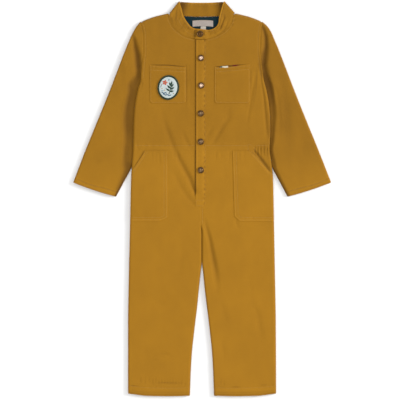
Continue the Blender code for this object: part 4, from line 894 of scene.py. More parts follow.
def chest_pocket(side):
    patch = CHEST_POCKETS[side]
    wide = abs(patch.centre_edge - patch.side_edge)
    at = edge_steps(wide, 2.0)
    share = (at / wide)[None, :]
    mouth = patch.mouth_side + (patch.mouth_centre - patch.mouth_side) * share
    sag, widest, lean, soft = {"right": (-1.9, 2.1, 1.0, 0.6), "left": (-0.6, 4.6, 1.6, 1.2)}[side]
    mouth = mouth - sag * np.sin(pi * share) ** 2
    corner = 4.0 * (1 - ease(np.minimum(at, wide - at), 0, 5.0))[None, :]
    tall = mouth - patch.bottom - corner
    down = (edge_steps(90.0, 1.9) / 90.0)[:, None]
    ys = mouth - tall * down
    xs = patch.side_edge + (patch.centre_edge - patch.side_edge) * share + 0 * down
    sides = rolled_off(np.minimum(at, wide - at)[None, :], 1.2)
    gap = widest * np.sin(pi * share**lean) ** soft  # the mouth gapes, and above the turned edge the cloth is painted dark as its shade
    lift = sides * rolled_off(down * tall - gap, 1.0) * rolled_off((1 - down) * tall, 1.2)
    gape = 0.5 * np.sin(pi * share) ** 2 * np.exp(-down * tall / 9.0) * (down * tall > gap)
    sunk = stitched(xs, ys, pocket_rows(side))
    z = top_of_panel(xs, ys) + PATCH_LIFT + PATCH_TALL * lift + gape - sunk * sides
    to_side = np.minimum(at, wide - at)[None, :]
    # painted highlights inside the side edges, below the turned edge and along the lowest stitch row; painted shade
    # over the gaping mouth
    rim_highlight = (0.13 if side == "right" else 0.06) * np.exp(-(((to_side - 1.8) / 1.4) ** 2)) + 0.1 * np.exp(-(((down * tall - gap - 1.8) / 1.5) ** 2))
    rim_highlight = np.maximum(rim_highlight, 0.1 * np.exp(-(((down * tall - gap - 13.0) / 1.2) ** 2)) * sides)
    inside = 1 - ease(down * tall - gap, -0.4, 0.5)
    painted_shading = 0.62 * inside * sides - rim_highlight * (1 - inside)
    return shell(f"chest_pocket_{side}_cloth", np.dstack([xs, ys, z]), TRIM_THICK, painted_shading=painted_shading)


def hip_rows(side):
    """Two rows beside the slanted mouth, two down the inner edge and two along the bottom."""
    sign = -1 if side == "right" else 1
    p = HIP_POCKETS[side]
    mouth_end = (float(side_x(side, p.mouth_end)), p.mouth_end)
    rows = []
    for d in (3.0, 8.5):
        rows.append([(p.top_x - sign * 1.1 * d, WAIST_Y - 2), (mouth_end[0] - sign * 3.2, p.mouth_end - 1.1 * d + 4)])
        rows.append([(p.inner_top + sign * d, WAIST_Y - 3), (p.inner_bottom + sign * d, p.bottom + p.chamfer_y + 0.4 * d),
                     (p.chamfer_x + sign * 0.4 * d, p.bottom + d * 0.95), (sign * 165.5, p.bottom + d * 0.95)])
    return rows


def hip_pocket(side):
    sign = -1 if side == "right" else 1
    p = HIP_POCKETS[side]
    at_side = float(side_x(side, p.mouth_end))
    slope = (WAIST_Y - p.mouth_end) / (p.top_x - at_side)
    chamfer = (p.chamfer_x - at_side) / (p.inner_bottom - at_side)
    wide = abs(p.inner_bottom - at_side)
    turns = np.radians(np.linspace(38, 90, 6))
    shares = np.concatenate([[0.0] * len(turns), edge_steps(wide, 2.0)[7:] / wide])
    turn = np.concatenate([turns, np.full(len(shares) - len(turns), pi / 2)])
    down = (edge_steps(120.0, 1.9) / 120.0)
    grid, painted_shading = np.zeros((len(down), len(shares), 3)), np.zeros((len(down), len(shares)))
    for i, (share, t) in enumerate(zip(shares, turn)):
        rise = sign * (PATCH_LIFT + PATCH_TALL) * cos(t)
        ends = side_x(side, np.array([p.mouth_end, p.bottom])) - sign * ROLL * (1 - cos(t)) + rise
        x_top = ends[0] + (p.inner_top - ends[0]) * share
        mouth = min(WAIST_Y - 0.4, p.mouth_end + (x_top - at_side) * slope)
        bottom = p.bottom + p.chamfer_y * max(0.0, (share - chamfer) / (1 - chamfer))
        y = mouth + (bottom - mouth) * down
        edge = side_x(side, y) - sign * ROLL * (1 - cos(t)) + rise
        inner_line = p.inner_top + (p.inner_bottom - p.inner_top) * (WAIST_Y - y) / (WAIST_Y - p.bottom)
        x = edge + (inner_line - edge) * share
        tall = mouth - bottom
        lift = rolled_off(np.full(len(y), (1 - share) * wide), 1.2) * rolled_off((1 - down) * tall, 1.2)
        lift = lift * rolled_off(down * tall, 1.0)
        opening = 0.4 * ease(share, 0.02, 0.12) * (mouth < WAIST_Y - 1) * np.exp(-down * tall / 10.0)
        sunk = relief(x, y, FRONT_CREASES) * 0.9 - waves(x, y) + stitched(x, y, hip_rows(side))
        z = SEAM_Z + (HEIGHT - SEAM_Z - sunk) * sin(t) + (PATCH_LIFT + PATCH_TALL * lift + opening) * sin(t)
        grid[:, i] = np.column_stack([x, y, z])
        # painted shade along the slanted mouth; painted highlights below it, inside the inner edge and along the bottom
        slanted = ease(share, 0.0, 0.04) * (mouth < WAIST_Y - 1)
        mouth_shade, rubbed_and_lit = (0.4, 5.5) if side == "left" else (0.36, 8.0)
        rim_highlight = 0.12 * slanted * np.exp(-(((down * tall - rubbed_and_lit) / 2.8) ** 2))
        rim_highlight = np.maximum(rim_highlight, 0.15 * np.exp(-((((1 - share) * wide - 2.0) / 1.5) ** 2)))
        rim_highlight = np.maximum(rim_highlight, 0.17 * np.exp(-((((1 - down) * tall - 1.8) / 1.7) ** 2)))
        painted_shading[:, i] = mouth_shade * slanted * (1 - ease(down * tall, 0.8, 4.0)) - rim_highlight
    return shell(f"hip_pocket_{side}_cloth", grid, TRIM_THICK, painted_shading=painted_shading)


pieces["placket"] = placket()
for side in ("right", "left"):
    pieces[f"chest_pocket_{side}"] = chest_pocket(side)
    pieces[f"hip_pocket_{side}"] = hip_pocket(side)

# %% [markdown]
# ## Inside the neck
# Through the neckline the dark lining shows, with a plain cream label sewn under the collar and a small
# white tab below it. Over one chest pocket a strip of its bright lining peeps out.

# %% Lining, labels and the strip in the pocket
def neck_lining():
    share = np.linspace(-1, 1, 61)[None, :]
    xs = CENTRE_X + 68.0 * np.sin(share * pi / 2 * 0.97)
    top = back_neck_y(xs) - 1.0
    low = np.minimum(NECK_Y - 54.0 * np.sqrt(1 - ((xs - CENTRE_X) / 68.0) ** 2), top - 2.0)
    down = np.linspace(0, 1, 34)[:, None]
    ys = top + (low - top) * down
    z = 3.2 - 0.5 * np.exp(-((xs + 30 + 0.5 * (ys - 410)) / 5) ** 2) - 0.4 * np.exp(-((xs - 34 - 0.6 * (ys - 412)) / 4) ** 2)
    return shell("neck_lining_cloth", np.dstack([xs + 0 * down, ys, z + 0 * ys]), 0.7)


def small_label(name, middle, wide, tall, bow, thick):
    at = edge_steps(wide, 1.4, (0, 0.1, 0.3, 0.6, 1.0))[None, :]
    down = (edge_steps(tall, 1.2, (0, 0.1, 0.3, 0.6)) / tall)[:, None]
    xs = middle[0] - wide / 2 + at
    arch = bow * (1 - ((xs - middle[0]) / (wide / 2)) ** 2)
    ys = middle[1] + tall / 2 - tall * down + arch
    z = 3.75 + 0.55 * rolled_off(np.minimum(at, wide - at), 0.5) + 0.25 * np.sin((xs - middle[0]) / 9.0)
    return shell(name, np.dstack([xs + 0 * down, ys, z + 0 * ys]), thick)


TUCKED = 7.5  # how much of the strip stays inside the pocket


def pocket_strip():
    patch = CHEST_POCKETS["left"]
    xs = np.linspace(35.0, 90.0, 56)[None, :]
    slope = (patch.mouth_side - patch.mouth_centre) / (patch.side_edge - patch.centre_edge)
    mouth = patch.mouth_centre + (xs - patch.centre_edge) * slope - TUCKED
    shown = 2.8 * ease(xs, 41, 46) * (1 - ease(xs, 61, 64)) + 3.6 * ease(xs, 70, 73) * (1 - ease(xs, 86, 90))
    tall = TUCKED - 3.6 + shown + 0.25 * np.sin(xs / 3.1) * (shown > 1)
    up = np.linspace(0, 1, 15)[:, None]
    out = ease(tall * up, TUCKED - 2, TUCKED + 1)
    z = HEIGHT + 0.45 + 0.75 * out * (1 + 0.2 * np.sin(xs / 2.3))
    return shell("pocket_lining_cloth", np.dstack([xs + 0 * up, mouth + tall * up, z]), 0.5)


pieces["neck_lining"] = neck_lining()
pieces["neck_label"] = small_label("neck_label_cloth", (2.5, 413.2), 48.6, 14.2, 1.4, 0.4)
pieces["size_tab"] = small_label("size_tab_cloth", (3.4, 402.4), 12.6, 8.6, 0.4, 0.3)
pieces["pocket_lining"] = pocket_strip()

# %% [markdown]
# ## Finishes
# A finish is a small graph of nodes. To read it as plain maths, one class wraps a socket so that Python's
# operators add Math nodes, and one method adds any other node.

# %% Shader maths
class Wire:
    """A node's output. Operators on it add Math nodes and give the result's wire."""

    def __init__(self, finish, socket):
        self.finish, self.socket = finish, socket

    def math(self, operation, *values):
        return self.finish.node("ShaderNodeMath", {"operation": operation}, dict(enumerate(values)))

    def __add__(self, other):
        return self.math("ADD", self, other)

    def __sub__(self, other):
        return self.math("SUBTRACT", self, other)

    def __rsub__(self, other):
        return self.math("SUBTRACT", other, self)

    def __mul__(self, other):
        return self.math("MULTIPLY", self, other)

    def __pow__(self, other):
        return self.math("POWER", self, other)

    def __abs__(self):
        return self.math("ABSOLUTE", self)

    __radd__, __rmul__ = __add__, __mul__


class Finish:
    """A material: its constants are set on the shader itself, and only what varies is wired to it."""

    def __init__(self, name, **constants):
        self.material = bpy.data.materials.new(name)
        self.material.use_nodes = True
        self.tree = self.material.node_tree
        self.shader = self.tree.nodes["Principled BSDF"]
        for socket, value in constants.items():
            self.shader.inputs[socket.replace("_", " ")].default_value = value

    def node(self, kind, settings=None, sockets=None, out=0):
        made = self.tree.nodes.new(kind)
        for key, value in (settings or {}).items():
            setattr(made, key, value)
        for key, value in (sockets or {}).items():
            self.join(value, made.inputs[key])
        return Wire(self, made.outputs[out])

    def join(self, value, socket):
        if isinstance(value, Wire):
            self.tree.links.new(value.socket, socket)
        else:
            socket.default_value = value

    def feed(self, **varying):
        for socket, value in varying.items():
            self.join(value, self.shader.inputs[socket.replace("_", " ")])

    def blend(self, amount, low, high):
        """Between two colours."""
        return self.node("ShaderNodeMix", {"data_type": "RGBA"}, {0: amount, 6: low, 7: high}, out=2)

    def noise(self, vector, scale, detail=2.0, stretch=(1.0, 1.0, 1.0)):
        placed = self.node("ShaderNodeMapping", None, {"Vector": vector, "Scale": stretch})
        return self.node("ShaderNodeTexNoise", None, {"Vector": placed, "Scale": scale, "Detail": detail})

    def bump(self, height, distance, strength=1.0):
        self.feed(Normal=self.node("ShaderNodeBump", None, {"Height": height, "Distance": distance,
                                                            "Strength": strength}))


def rgb(r, g, b):
    """A colour as a screen shows it, from 0 to 255, as the shader's linear numbers."""
    linear = [c / 255 / 12.92 if c < 10 else ((c / 255 + 0.055) / 1.055) ** 2.4 for c in (r, g, b)]
    return (*linear, 1.0)


# %% [markdown]
# ## Needlecord
# Needlecord is a fine corduroy: velvety ribs about 1.4 mm apart with a narrow valley between them. The
# ribs follow the cloth's own UV map. The pile catches the light in soft clouds where it was brushed.

# %% Needlecord, thread and the other cloths
RIB_PITCH = 1.45 * MM


def needlecord(name, ground, pile_shade):
    cord = Finish(name, Roughness=0.88, Sheen_Weight=0.12, Sheen_Roughness=0.45, Specular_IOR_Level=0.2,
                  Sheen_Tint=pile_shade)
    uv = cord.node("ShaderNodeUVMap", {"uv_map": "cloth"})
    place = cord.node("ShaderNodeTexCoord", None, None, out="Object")
    across = cord.node("ShaderNodeSeparateXYZ", None, {0: uv})
    wander = cord.noise(uv, 45.0, 1.0)
    phase = (across + wander * 0.0006) * (pi / RIB_PITCH)
    rib = abs(phase.math("SINE", phase)) ** 0.55
    tufts = cord.noise(uv, 1.0, 2.0, (950.0, 620.0, 1.0))
    fibres = cord.noise(uv, 1.0, 2.0, (3600.0, 1500.0, 1.0))
    clouds = cord.noise(place, 11.0, 3.0)
    brushed = cord.noise(uv, 1.0, 3.0, (48.0, 26.0, 1.0))
    # the painted shade and painted highlights that the cloth shells carry darken and lighten the base colour
    painted_shading = cord.node("ShaderNodeAttribute", {"attribute_name": "painted_shading"}, None, out="Fac")
    shade = (rib * 0.62 + (tufts - 0.5) * 0.35 + (fibres - 0.5) * 0.25 + (clouds - 0.5) * 0.22
             + (brushed - 0.5) * 0.14 + 0.3 - painted_shading)
    cord.feed(Base_Color=cord.blend(shade, ground, pile_shade), Roughness=0.94 - rib * 0.12)
    cord.bump(rib * 0.75 + tufts * 0.3 + fibres * 0.15, 0.32 * MM, 0.8)
    return cord.material


OCHRE_GROUND, OCHRE_PILE = rgb(90, 58, 3), rgb(161, 112, 18)
cord_finish = needlecord("needlecord", OCHRE_GROUND, OCHRE_PILE)
print("needlecord ribs across the front:", round((SIDES[-1].left - SIDES[-1].right) * MM / RIB_PITCH))


def woven(name, low, high, warp, weft, depth, roughness=0.8, sheen=0.1, gloss=0.25):
    """A plain cloth on Object coordinates: threads both ways, over and under."""
    cloth = Finish(name, Roughness=roughness, Sheen_Weight=sheen, Specular_IOR_Level=gloss)
    place = cloth.node("ShaderNodeTexCoord", None, None, out="Object")
    split = cloth.node("ShaderNodeSeparateXYZ", None, {0: place})
    x, y = split, Wire(cloth, split.socket.node.outputs[1])
    over = x.math("SINE", x * (2 * pi / warp)) * y.math("SINE", y * (2 * pi / weft))
    mottle = cloth.noise(place, 160.0, 3.0)
    cloth.feed(Base_Color=cloth.blend(over * 0.3 + (mottle - 0.5) * 0.7 + 0.5, low, high))
    cloth.bump(over * 0.5 + mottle * 0.6, depth)
    return cloth.material


lining_finish = woven("lining_jersey", rgb(9, 22, 28), rgb(16, 43, 50), 0.9 * MM, 1.3 * MM, 0.12 * MM, 0.9, 0.03, 0.12)
label_finish = woven("label_weave", rgb(129, 120, 113), rgb(160, 149, 141), 0.5 * MM, 0.35 * MM, 0.05 * MM, 0.6)
tab_finish = woven("tab_satin", rgb(150, 144, 134), rgb(182, 174, 162), 0.4 * MM, 0.4 * MM, 0.04 * MM, 0.55)
twill_finish = woven("badge_twill", rgb(158, 170, 168), rgb(184, 192, 190), 0.7 * MM, 0.5 * MM, 0.08 * MM)


def thread(name, colour, roughness=0.5):
    """Sewing thread: a slight gloss and an uneven dye."""
    yarn = Finish(name, Roughness=roughness, Sheen_Weight=0.15, Specular_IOR_Level=0.35)
    place = yarn.node("ShaderNodeTexCoord", None, None, out="Object")
    uneven = yarn.noise(place, 900.0, 2.0)
    dark = tuple(0.62 * c for c in colour[:3]) + (1.0,)
    yarn.feed(Base_Color=yarn.blend(uneven * 1.2 - 0.1, dark, colour))
    yarn.bump(uneven, 0.1 * MM, 0.6)
    return yarn.material


thread_finish = thread("ochre_thread", rgb(170, 124, 42))


def colour_blocks():
    """The strip in the pocket: plain blocks of colour that change along it."""
    strip = Finish("lining_blocks", Roughness=0.8, Sheen_Weight=0.02, Specular_IOR_Level=0.2)
    place = strip.node("ShaderNodeTexCoord", None, None, out="Object")
    along = strip.node("ShaderNodeSeparateXYZ", None, {0: place})
    ramp = strip.tree.nodes.new("ShaderNodeValToRGB")
    ramp.color_ramp.interpolation = "CONSTANT"
    blocks = [(0.0, rgb(70, 88, 84)), (0.24, rgb(186, 178, 158)), (0.48, rgb(150, 112, 70)),
              (0.56, rgb(52, 36, 16)), (0.66, rgb(84, 14, 14)), (0.94, rgb(108, 50, 20))]
    for number, (at, colour) in enumerate(blocks):
        stop = ramp.color_ramp.elements[number] if number < 2 else ramp.color_ramp.elements.new(at)
        stop.position, stop.color = at, colour
    strip.join((along - 0.035) * (1 / 0.055), ramp.inputs["Fac"])
    strip.feed(Base_Color=Wire(strip, ramp.outputs["Color"]))
    strip.bump(strip.noise(place, 700.0, 3.0), 0.1 * MM)
    return strip.material


def old_metal(name, dark, rubbed_and_lit, roughness):
    """Plated metal, tarnished dark and rubbed lighter where it wears."""
    metal = Finish(name, Metallic=1.0)
    place = metal.node("ShaderNodeTexCoord", None, None, out="Object")
    tarnish = metal.noise(place, 420.0, 4.0)
    specks = metal.noise(place, 1900.0, 2.0)
    metal.feed(Base_Color=metal.blend(tarnish * 1.4 - 0.2, dark, rubbed_and_lit), Roughness=roughness + tarnish * 0.2)
    metal.bump(tarnish * 0.6 + specks * 0.4, 0.05 * MM, 0.5)
    return metal.material


strip_finish = colour_blocks()
rim_metal = old_metal("snap_rim", rgb(66, 44, 22), rgb(112, 84, 54), 0.34)
# three copies of one metal, lit and shaded: the lit one's light colour is a painted highlight, the dim and dark ones
# are painted shade
DOME_METALS = {"bright": old_metal("snap_rubbed", rgb(150, 124, 104), rgb(214, 186, 164), 0.26),
               "brown": old_metal("snap_tarnished", rgb(82, 64, 44), rgb(130, 106, 80), 0.28),
               "dark": old_metal("snap_dark", rgb(56, 36, 16), rgb(92, 64, 34), 0.3)}
print("finishes:", len(bpy.data.materials))

# %% [markdown]
# ## Modelling by hand: one stitch, one snap
# Small hard shapes are modelled as one would at the screen: start from a primitive, pick faces, extrude
# them and scale them. What repeats is modelled once and copied.

# %% Helpers for edit mode, and one stitch
def pick_faces(piece, test):
    """In edit mode, select just the faces that pass."""
    bpy.ops.mesh.select_mode(type="FACE")
    bpy.ops.mesh.select_all(action="DESELECT")
    bpy.ops.object.mode_set(mode="OBJECT")
    for face in piece.data.polygons:
        face.select = test(face)
    bpy.ops.object.mode_set(mode="EDIT")


def make_stitch():
    """A short thread, one unit long, whose ends dive into the cloth. Returns its points and faces."""
    bpy.ops.object.select_all(action="DESELECT")
    bpy.ops.mesh.primitive_cylinder_add(vertices=6, radius=0.5, depth=0.5, rotation=(0, pi / 2, 0))
    shape = bpy.context.object
    bpy.ops.object.transform_apply(location=False, rotation=True, scale=False)
    bpy.ops.object.mode_set(mode="EDIT")
    for end in (-1, 1):
        pick_faces(shape, lambda face: face.normal.x * end > 0.9)
        bpy.ops.mesh.extrude_region_move(TRANSFORM_OT_translate={"value": (0.25 * end, 0, -0.3)})
        bpy.ops.transform.resize(value=(1, 0.5, 0.5), center_override=(0.5 * end, 0, -0.3))
    bpy.ops.object.mode_set(mode="OBJECT")
    points = np.array([v.co for v in shape.data.vertices])
    faces = [tuple(face.vertices) for face in shape.data.polygons]
    bpy.data.objects.remove(shape)
    return points, faces


STITCH_POINTS, STITCH_FACES = make_stitch()
print("one stitch:", len(STITCH_FACES), "faces")

# %% Lay copies of the stitch along a row
def surface_of(carriers):
    points, faces = [], []
    for piece in carriers:
        shift = len(points)
        points += [v.co.copy() for v in piece.data.vertices]
        faces += [tuple(shift + i for i in face.vertices) for face in piece.data.polygons]
    return BVHTree.FromPolygons(points, faces)


def threads_mesh(name, placed, finish):
    """One mesh from many threads, each given by its two ends, its upward way, and its width, all in metres."""
    points, faces = [], []
    for a, b, up, wide, tall in placed:
        along = b - a
        x_way = along.normalized()
        y_way = up.cross(x_way).normalized()
        z_way = x_way.cross(y_way)
        frame_of = np.array([along, y_way * wide, z_way * tall])
        shift = len(points)
        points += (np.array((a + b) / 2) + STITCH_POINTS @ frame_of).tolist()
        faces += [tuple(shift + i for i in face) for face in STITCH_FACES]
    mesh = bpy.data.meshes.new(name)
    mesh.from_pydata(points, [], faces)
    mesh.shade_smooth()
    mesh.materials.append(finish)
    piece = bpy.data.objects.new(name, mesh)
    bpy.context.scene.collection.objects.link(piece)
    print(f"{name}: {len(placed)} threads")
    return piece


def stitch_rows(name, rows, carriers, below=False, length=2.7, gap=0.75, wide=0.62):
    """Stitches along rows of points seen from above, or from below, resting on what carries them."""
    tree = surface_of(carriers)
    start, way = (-0.05, 1.0) if below else (0.05, -1.0)
    placed = []
    for row in rows:
        way_points = np.array(row, float)
        run = np.concatenate([[0], np.cumsum(np.hypot(*np.diff(way_points, axis=0).T))])
        count = max(1, int(run[-1] / (length + gap)))
        for k in range(count):
            middle = (k + 0.5) * run[-1] / count
            ends = []
            for s in (middle - length / 2, middle + length / 2):
                x, y = np.interp(s, run, way_points[:, 0]), np.interp(s, run, way_points[:, 1])
                spot, normal, _, _ = tree.ray_cast(Vector((x * MM, y * MM, start)), Vector((0, 0, way)))
                if spot is not None:
                    ends.append((spot, normal))
            if len(ends) == 2 and abs(ends[0][0].z - ends[1][0].z) < 1.5 * MM:
                up = ((ends[0][1] + ends[1][1]) / 2).normalized()
                up = up if up.z * way < 0 else -up
                lift = up * ((-0.12 if below else 0.06) * MM)
                placed.append((ends[0][0] + lift, ends[1][0] + lift, up, wide * MM, wide * 0.75 * MM))
    return threads_mesh(name, placed, thread_finish)


def collar_row(down, angles):
    """Along the collar's front, that far below its free edge."""
    row = []
    for angle in angles:
        base = np.array(neck_point(angle, 0.3))
        top = np.array([float(smooth(angle, COLLAR_FRONT, n)) for n in (1, 2)])
        row.append(tuple(top + (base - top) * down / np.hypot(*(base - top))))
    return row


front_carriers = [pieces[n] for n in ("front_bodice_right", "front_bodice_left", "front_leg_right", "front_leg_left")]
back_carriers = [pieces[n] for n in ("back_bodice", "back_leg_right", "back_leg_left")]
right_angles, left_angles = np.linspace(-80, 6, 30), np.linspace(80, -8, 30)
back_row = [(x, 459.2 - BACK_TOP_DIP * (1 - (x / 52) ** 2)) for x in np.linspace(-40, 41, 12)]
stitching = {
    "stitches_front": stitch_rows("stitches_front", BODY_ROWS, front_carriers),
    "stitches_back": stitch_rows("stitches_back", BACK_ROWS, back_carriers, below=True),
    "stitches_collar": stitch_rows("stitches_collar", [collar_row(3.4, right_angles), collar_row(3.4, left_angles),
                                   collar_row(15.5, right_angles[4:-2]), back_row], [pieces["collar"]]),
    "stitches_placket": stitch_rows("stitches_placket", PLACKET_ROWS, [pieces["placket"]]),
}
for side in ("right", "left"):
    name = f"stitches_sleeve_{side}"
    stitching[name] = stitch_rows(name, [CUFF_ROWS[side]], [pieces[f"sleeve_{side}"]])
    name = f"stitches_under_sleeve_{side}"
    stitching[name] = stitch_rows(name, [UNDER_CUFF_ROWS[side]], [pieces[f"sleeve_{side}"]], below=True)
    name = f"stitches_chest_pocket_{side}"
    stitching[name] = stitch_rows(name, pocket_rows(side), [pieces[f"chest_pocket_{side}"]])
    name = f"stitches_hip_pocket_{side}"
    stitching[name] = stitch_rows(name, hip_rows(side), [pieces[f"hip_pocket_{side}"]])
label_rows = [[(-20.5, 419.4), (2.4, 420.8), (25.3, 419.4)]]
stitching["stitches_label"] = stitch_rows("stitches_label", label_rows, [pieces["neck_label"]], length=1.6, wide=0.4)

# %% [markdown]
# ## Snaps
# A snap's cap is a shallow dome in a raised rim. It is turned from one disc by extruding its face step by
# step up a profile. The six caps differ in place and in the painted light and shade on their domes, and each has a mesh
# of its own.

# %% One cap, then six
CAP_PROFILE = [(7.25, 0.0), (7.5, 0.45), (7.45, 1.1), (7.1, 1.65), (6.5, 1.85), (5.95, 1.65), (5.6, 1.2), (5.35, 1.05),
               (5.05, 1.25), (4.3, 1.75), (3.2, 2.1), (1.9, 2.3), (0.8, 2.37)]


DOME_RADIUS = 4.6
SNAP_SHADING = ("dark", "bright", "bright", "brown", "brown", "brown")  # painted light and shade on each dome, from the collar's snap down


def make_cap():
    bpy.ops.object.select_all(action="DESELECT")
    bpy.ops.mesh.primitive_circle_add(vertices=40, radius=CAP_PROFILE[0][0] * MM, fill_type="NGON")
    cap = bpy.context.object
    bpy.ops.object.mode_set(mode="EDIT")
    bpy.ops.mesh.select_all(action="SELECT")
    for (radius, height), (wider, higher) in zip(CAP_PROFILE, CAP_PROFILE[1:]):
        bpy.ops.mesh.extrude_region_move(TRANSFORM_OT_translate={"value": (0, 0, (higher - height) * MM)})
        bpy.ops.transform.resize(value=(wider / radius, wider / radius, 1), center_override=(0, 0, higher * MM))
    bpy.ops.mesh.select_all(action="SELECT")
    bpy.ops.mesh.normals_make_consistent(inside=False)
    bpy.ops.object.mode_set(mode="OBJECT")
    cap.data.shade_smooth()
    for face in cap.data.polygons:
        face.material_index = int(face.center.xy.length < DOME_RADIUS * MM)
    return cap


cap = make_cap()
for number, (x, y) in enumerate(SNAPS, 1):
    piece = bpy.data.objects.new(f"snap_{number}_cap", cap.data.copy())
    bpy.context.scene.collection.objects.link(piece)
    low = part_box(f"snap_{number}")[0].z
    piece.data.transform(Matrix.Translation((x * MM, y * MM, low)))
    for finish in (rim_metal, DOME_METALS[SNAP_SHADING[number - 1]]):
        piece.data.materials.append(finish)
    pieces[f"snap_{number}"] = piece
bpy.data.objects.remove(cap)
print("snap cap faces:", len(pieces["snap_1"].data.polygons))

# %% [markdown]
# ## The badge
# The oval badge is an embroidered patch: a twill ground, a border of thick slanted thread loops, and
# satin-stitched motifs, here a leaf sprig, a small flower and waves in the same family of colours.
# Satin stitch is parallel threads laid edge to edge, so a motif is an outline filled with copies of the stitch.

# %% The badge's ground and border
BADGE_AT, BADGE_WIDE, BADGE_TALL, BADGE_TURN = (-78.5, 262.9), 25.8, 29.4, radians(-8.0)
BADGE_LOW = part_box("badge")[0].z / MM


def on_badge(x, y, z=0.0):
    """From the badge's own sizes to the frame, in metres."""
    return Vector(((BADGE_AT[0] + x * cos(BADGE_TURN) - y * sin(BADGE_TURN)) * MM,
                   (BADGE_AT[1] + x * sin(BADGE_TURN) + y * cos(BADGE_TURN)) * MM, (BADGE_LOW + z) * MM))


def badge_ground():
    bpy.ops.object.select_all(action="DESELECT")
    bpy.ops.mesh.primitive_circle_add(vertices=72, radius=1.0, fill_type="NGON")
    ground = bpy.context.object
    bpy.ops.object.mode_set(mode="EDIT")
    bpy.ops.mesh.select_all(action="SELECT")
    bpy.ops.transform.resize(value=((BADGE_WIDE - 1.2) * MM, (BADGE_TALL - 1.2) * MM, 1), center_override=(0, 0, 0))
    for inset, rise in ((1.0, 0.55), (0.96, 0.35), (0.7, 0.05), (0.35, 0.03)):
        bpy.ops.mesh.extrude_region_move(TRANSFORM_OT_translate={"value": (0, 0, rise * MM)})
        bpy.ops.transform.resize(value=(inset, inset, 1), center_override=(0, 0, 0))
    bpy.ops.mesh.select_all(action="SELECT")
    bpy.ops.mesh.normals_make_consistent(inside=False)
    bpy.ops.transform.rotate(value=-BADGE_TURN, orient_axis="Z", center_override=(0, 0, 0))
    bpy.ops.transform.translate(value=on_badge(0, 0))
    bpy.ops.object.mode_set(mode="OBJECT")
    ground.name = ground.data.name = "badge_patch"
    ground.data.shade_smooth()
    ground.data.set_sharp_from_angle(angle=radians(50))
    ground.data.materials.append(twill_finish)
    return ground


def badge_border(loops=150):
    """Loops of thick thread across the patch's edge, each slanted forward a little."""
    placed = []
    for k in range(loops):
        a = 2 * pi * k / loops
        inner = on_badge((BADGE_WIDE - 4.7) * cos(a - 0.02), (BADGE_TALL - 4.7) * sin(a - 0.02), 1.1)
        outer = on_badge((BADGE_WIDE - 0.1) * cos(a + 0.02), (BADGE_TALL - 0.1) * sin(a + 0.02), 0.75)
        placed.append((inner, outer, Vector((0, 0, 1)), 1.3 * MM, 1.0 * MM))
    return threads_mesh("badge_border", placed, thread("border_thread", rgb(26, 46, 14), 0.8))


pieces["badge"] = badge_ground()
badge_parts = [badge_border()]


# %% Satin-stitched motifs
def satin(outline, angle, spacing=0.5, height=1.15):
    """Threads at an angle that fill a closed outline."""
    turned = np.array(outline) @ np.array([[cos(angle), -sin(angle)], [sin(angle), cos(angle)]])
    nexts = np.roll(turned, -1, axis=0)
    placed = []
    for level in np.arange(turned[:, 1].min() + spacing / 2, turned[:, 1].max(), spacing):
        crossing = (turned[:, 1] <= level) != (nexts[:, 1] <= level)
        a, b = turned[crossing], nexts[crossing]
        xs = np.sort(a[:, 0] + (level - a[:, 1]) / (b[:, 1] - a[:, 1]) * (b[:, 0] - a[:, 0]))
        for x0, x1 in zip(xs[::2], xs[1::2]):
            if x1 - x0 > 0.4:
                ends = [(x * cos(angle) - level * sin(angle), x * sin(angle) + level * cos(angle)) for x in (x0, x1)]
                placed.append((on_badge(*ends[0], height), on_badge(*ends[1], height), Vector((0, 0, 1)),
                               0.62 * MM, 0.55 * MM))
    return placed


def leaf(x, y, length, wide, way):
    """A pointed leaf that grows from x, y in a direction given in degrees."""
    a = radians(way)
    t = np.linspace(0, 1, 9)
    half = wide / 2 * np.sin(pi * t**0.8)
    edge = np.concatenate([np.column_stack([t * length, half]), np.column_stack([t * length, -half])[::-1][1:-1]])
    return [(x + px * cos(a) - py * sin(a), y + px * sin(a) + py * cos(a)) for px, py in edge]


def ribbon(points, wide):
    """A band of even width along the points."""
    path = np.array(points, float)
    way = np.gradient(path, axis=0)
    side = np.column_stack([-way[:, 1], way[:, 0]]) / np.hypot(*way.T)[:, None] * wide / 2
    return np.concatenate([path + side, (path - side)[::-1]])


sprig = [satin(ribbon([(3.5 + 2.5 * sin(t * 1.6), -15 + 24 * t) for t in np.linspace(0, 1, 12)], 1.9), 0.3)]
for x, y, length, wide, way in ((4.6, -9, 10, 4.9, 18), (5.4, -4.0, 11, 5.0, 38), (5.9, 1.5, 10.5, 4.8, 60),
                                (5.9, 7.0, 9.5, 4.4, 88), (4.2, -7, 10, 4.8, 160), (5.0, -1.5, 10.5, 4.9, 142),
                                (5.6, 4.0, 10, 4.6, 122)):
    sprig.append(satin(leaf(x, y, length, wide, way), radians(way + 62)))
petals = [satin(leaf(-9.5 + 1.0 * cos(radians(w)), 10.4 + 1.0 * sin(radians(w)), 5.6, 4.4, w), radians(w + 90))
          for w in range(10, 370, 72)]
water = [satin(ribbon([(x, y + 0.9 * sin(x * 0.75 + y)) for x in np.linspace(x0, x1, 26)], 2.2), pi / 2)
         for y, x0, x1 in ((-17.5, -10, 9), (-13.8, -14, -1.5))]
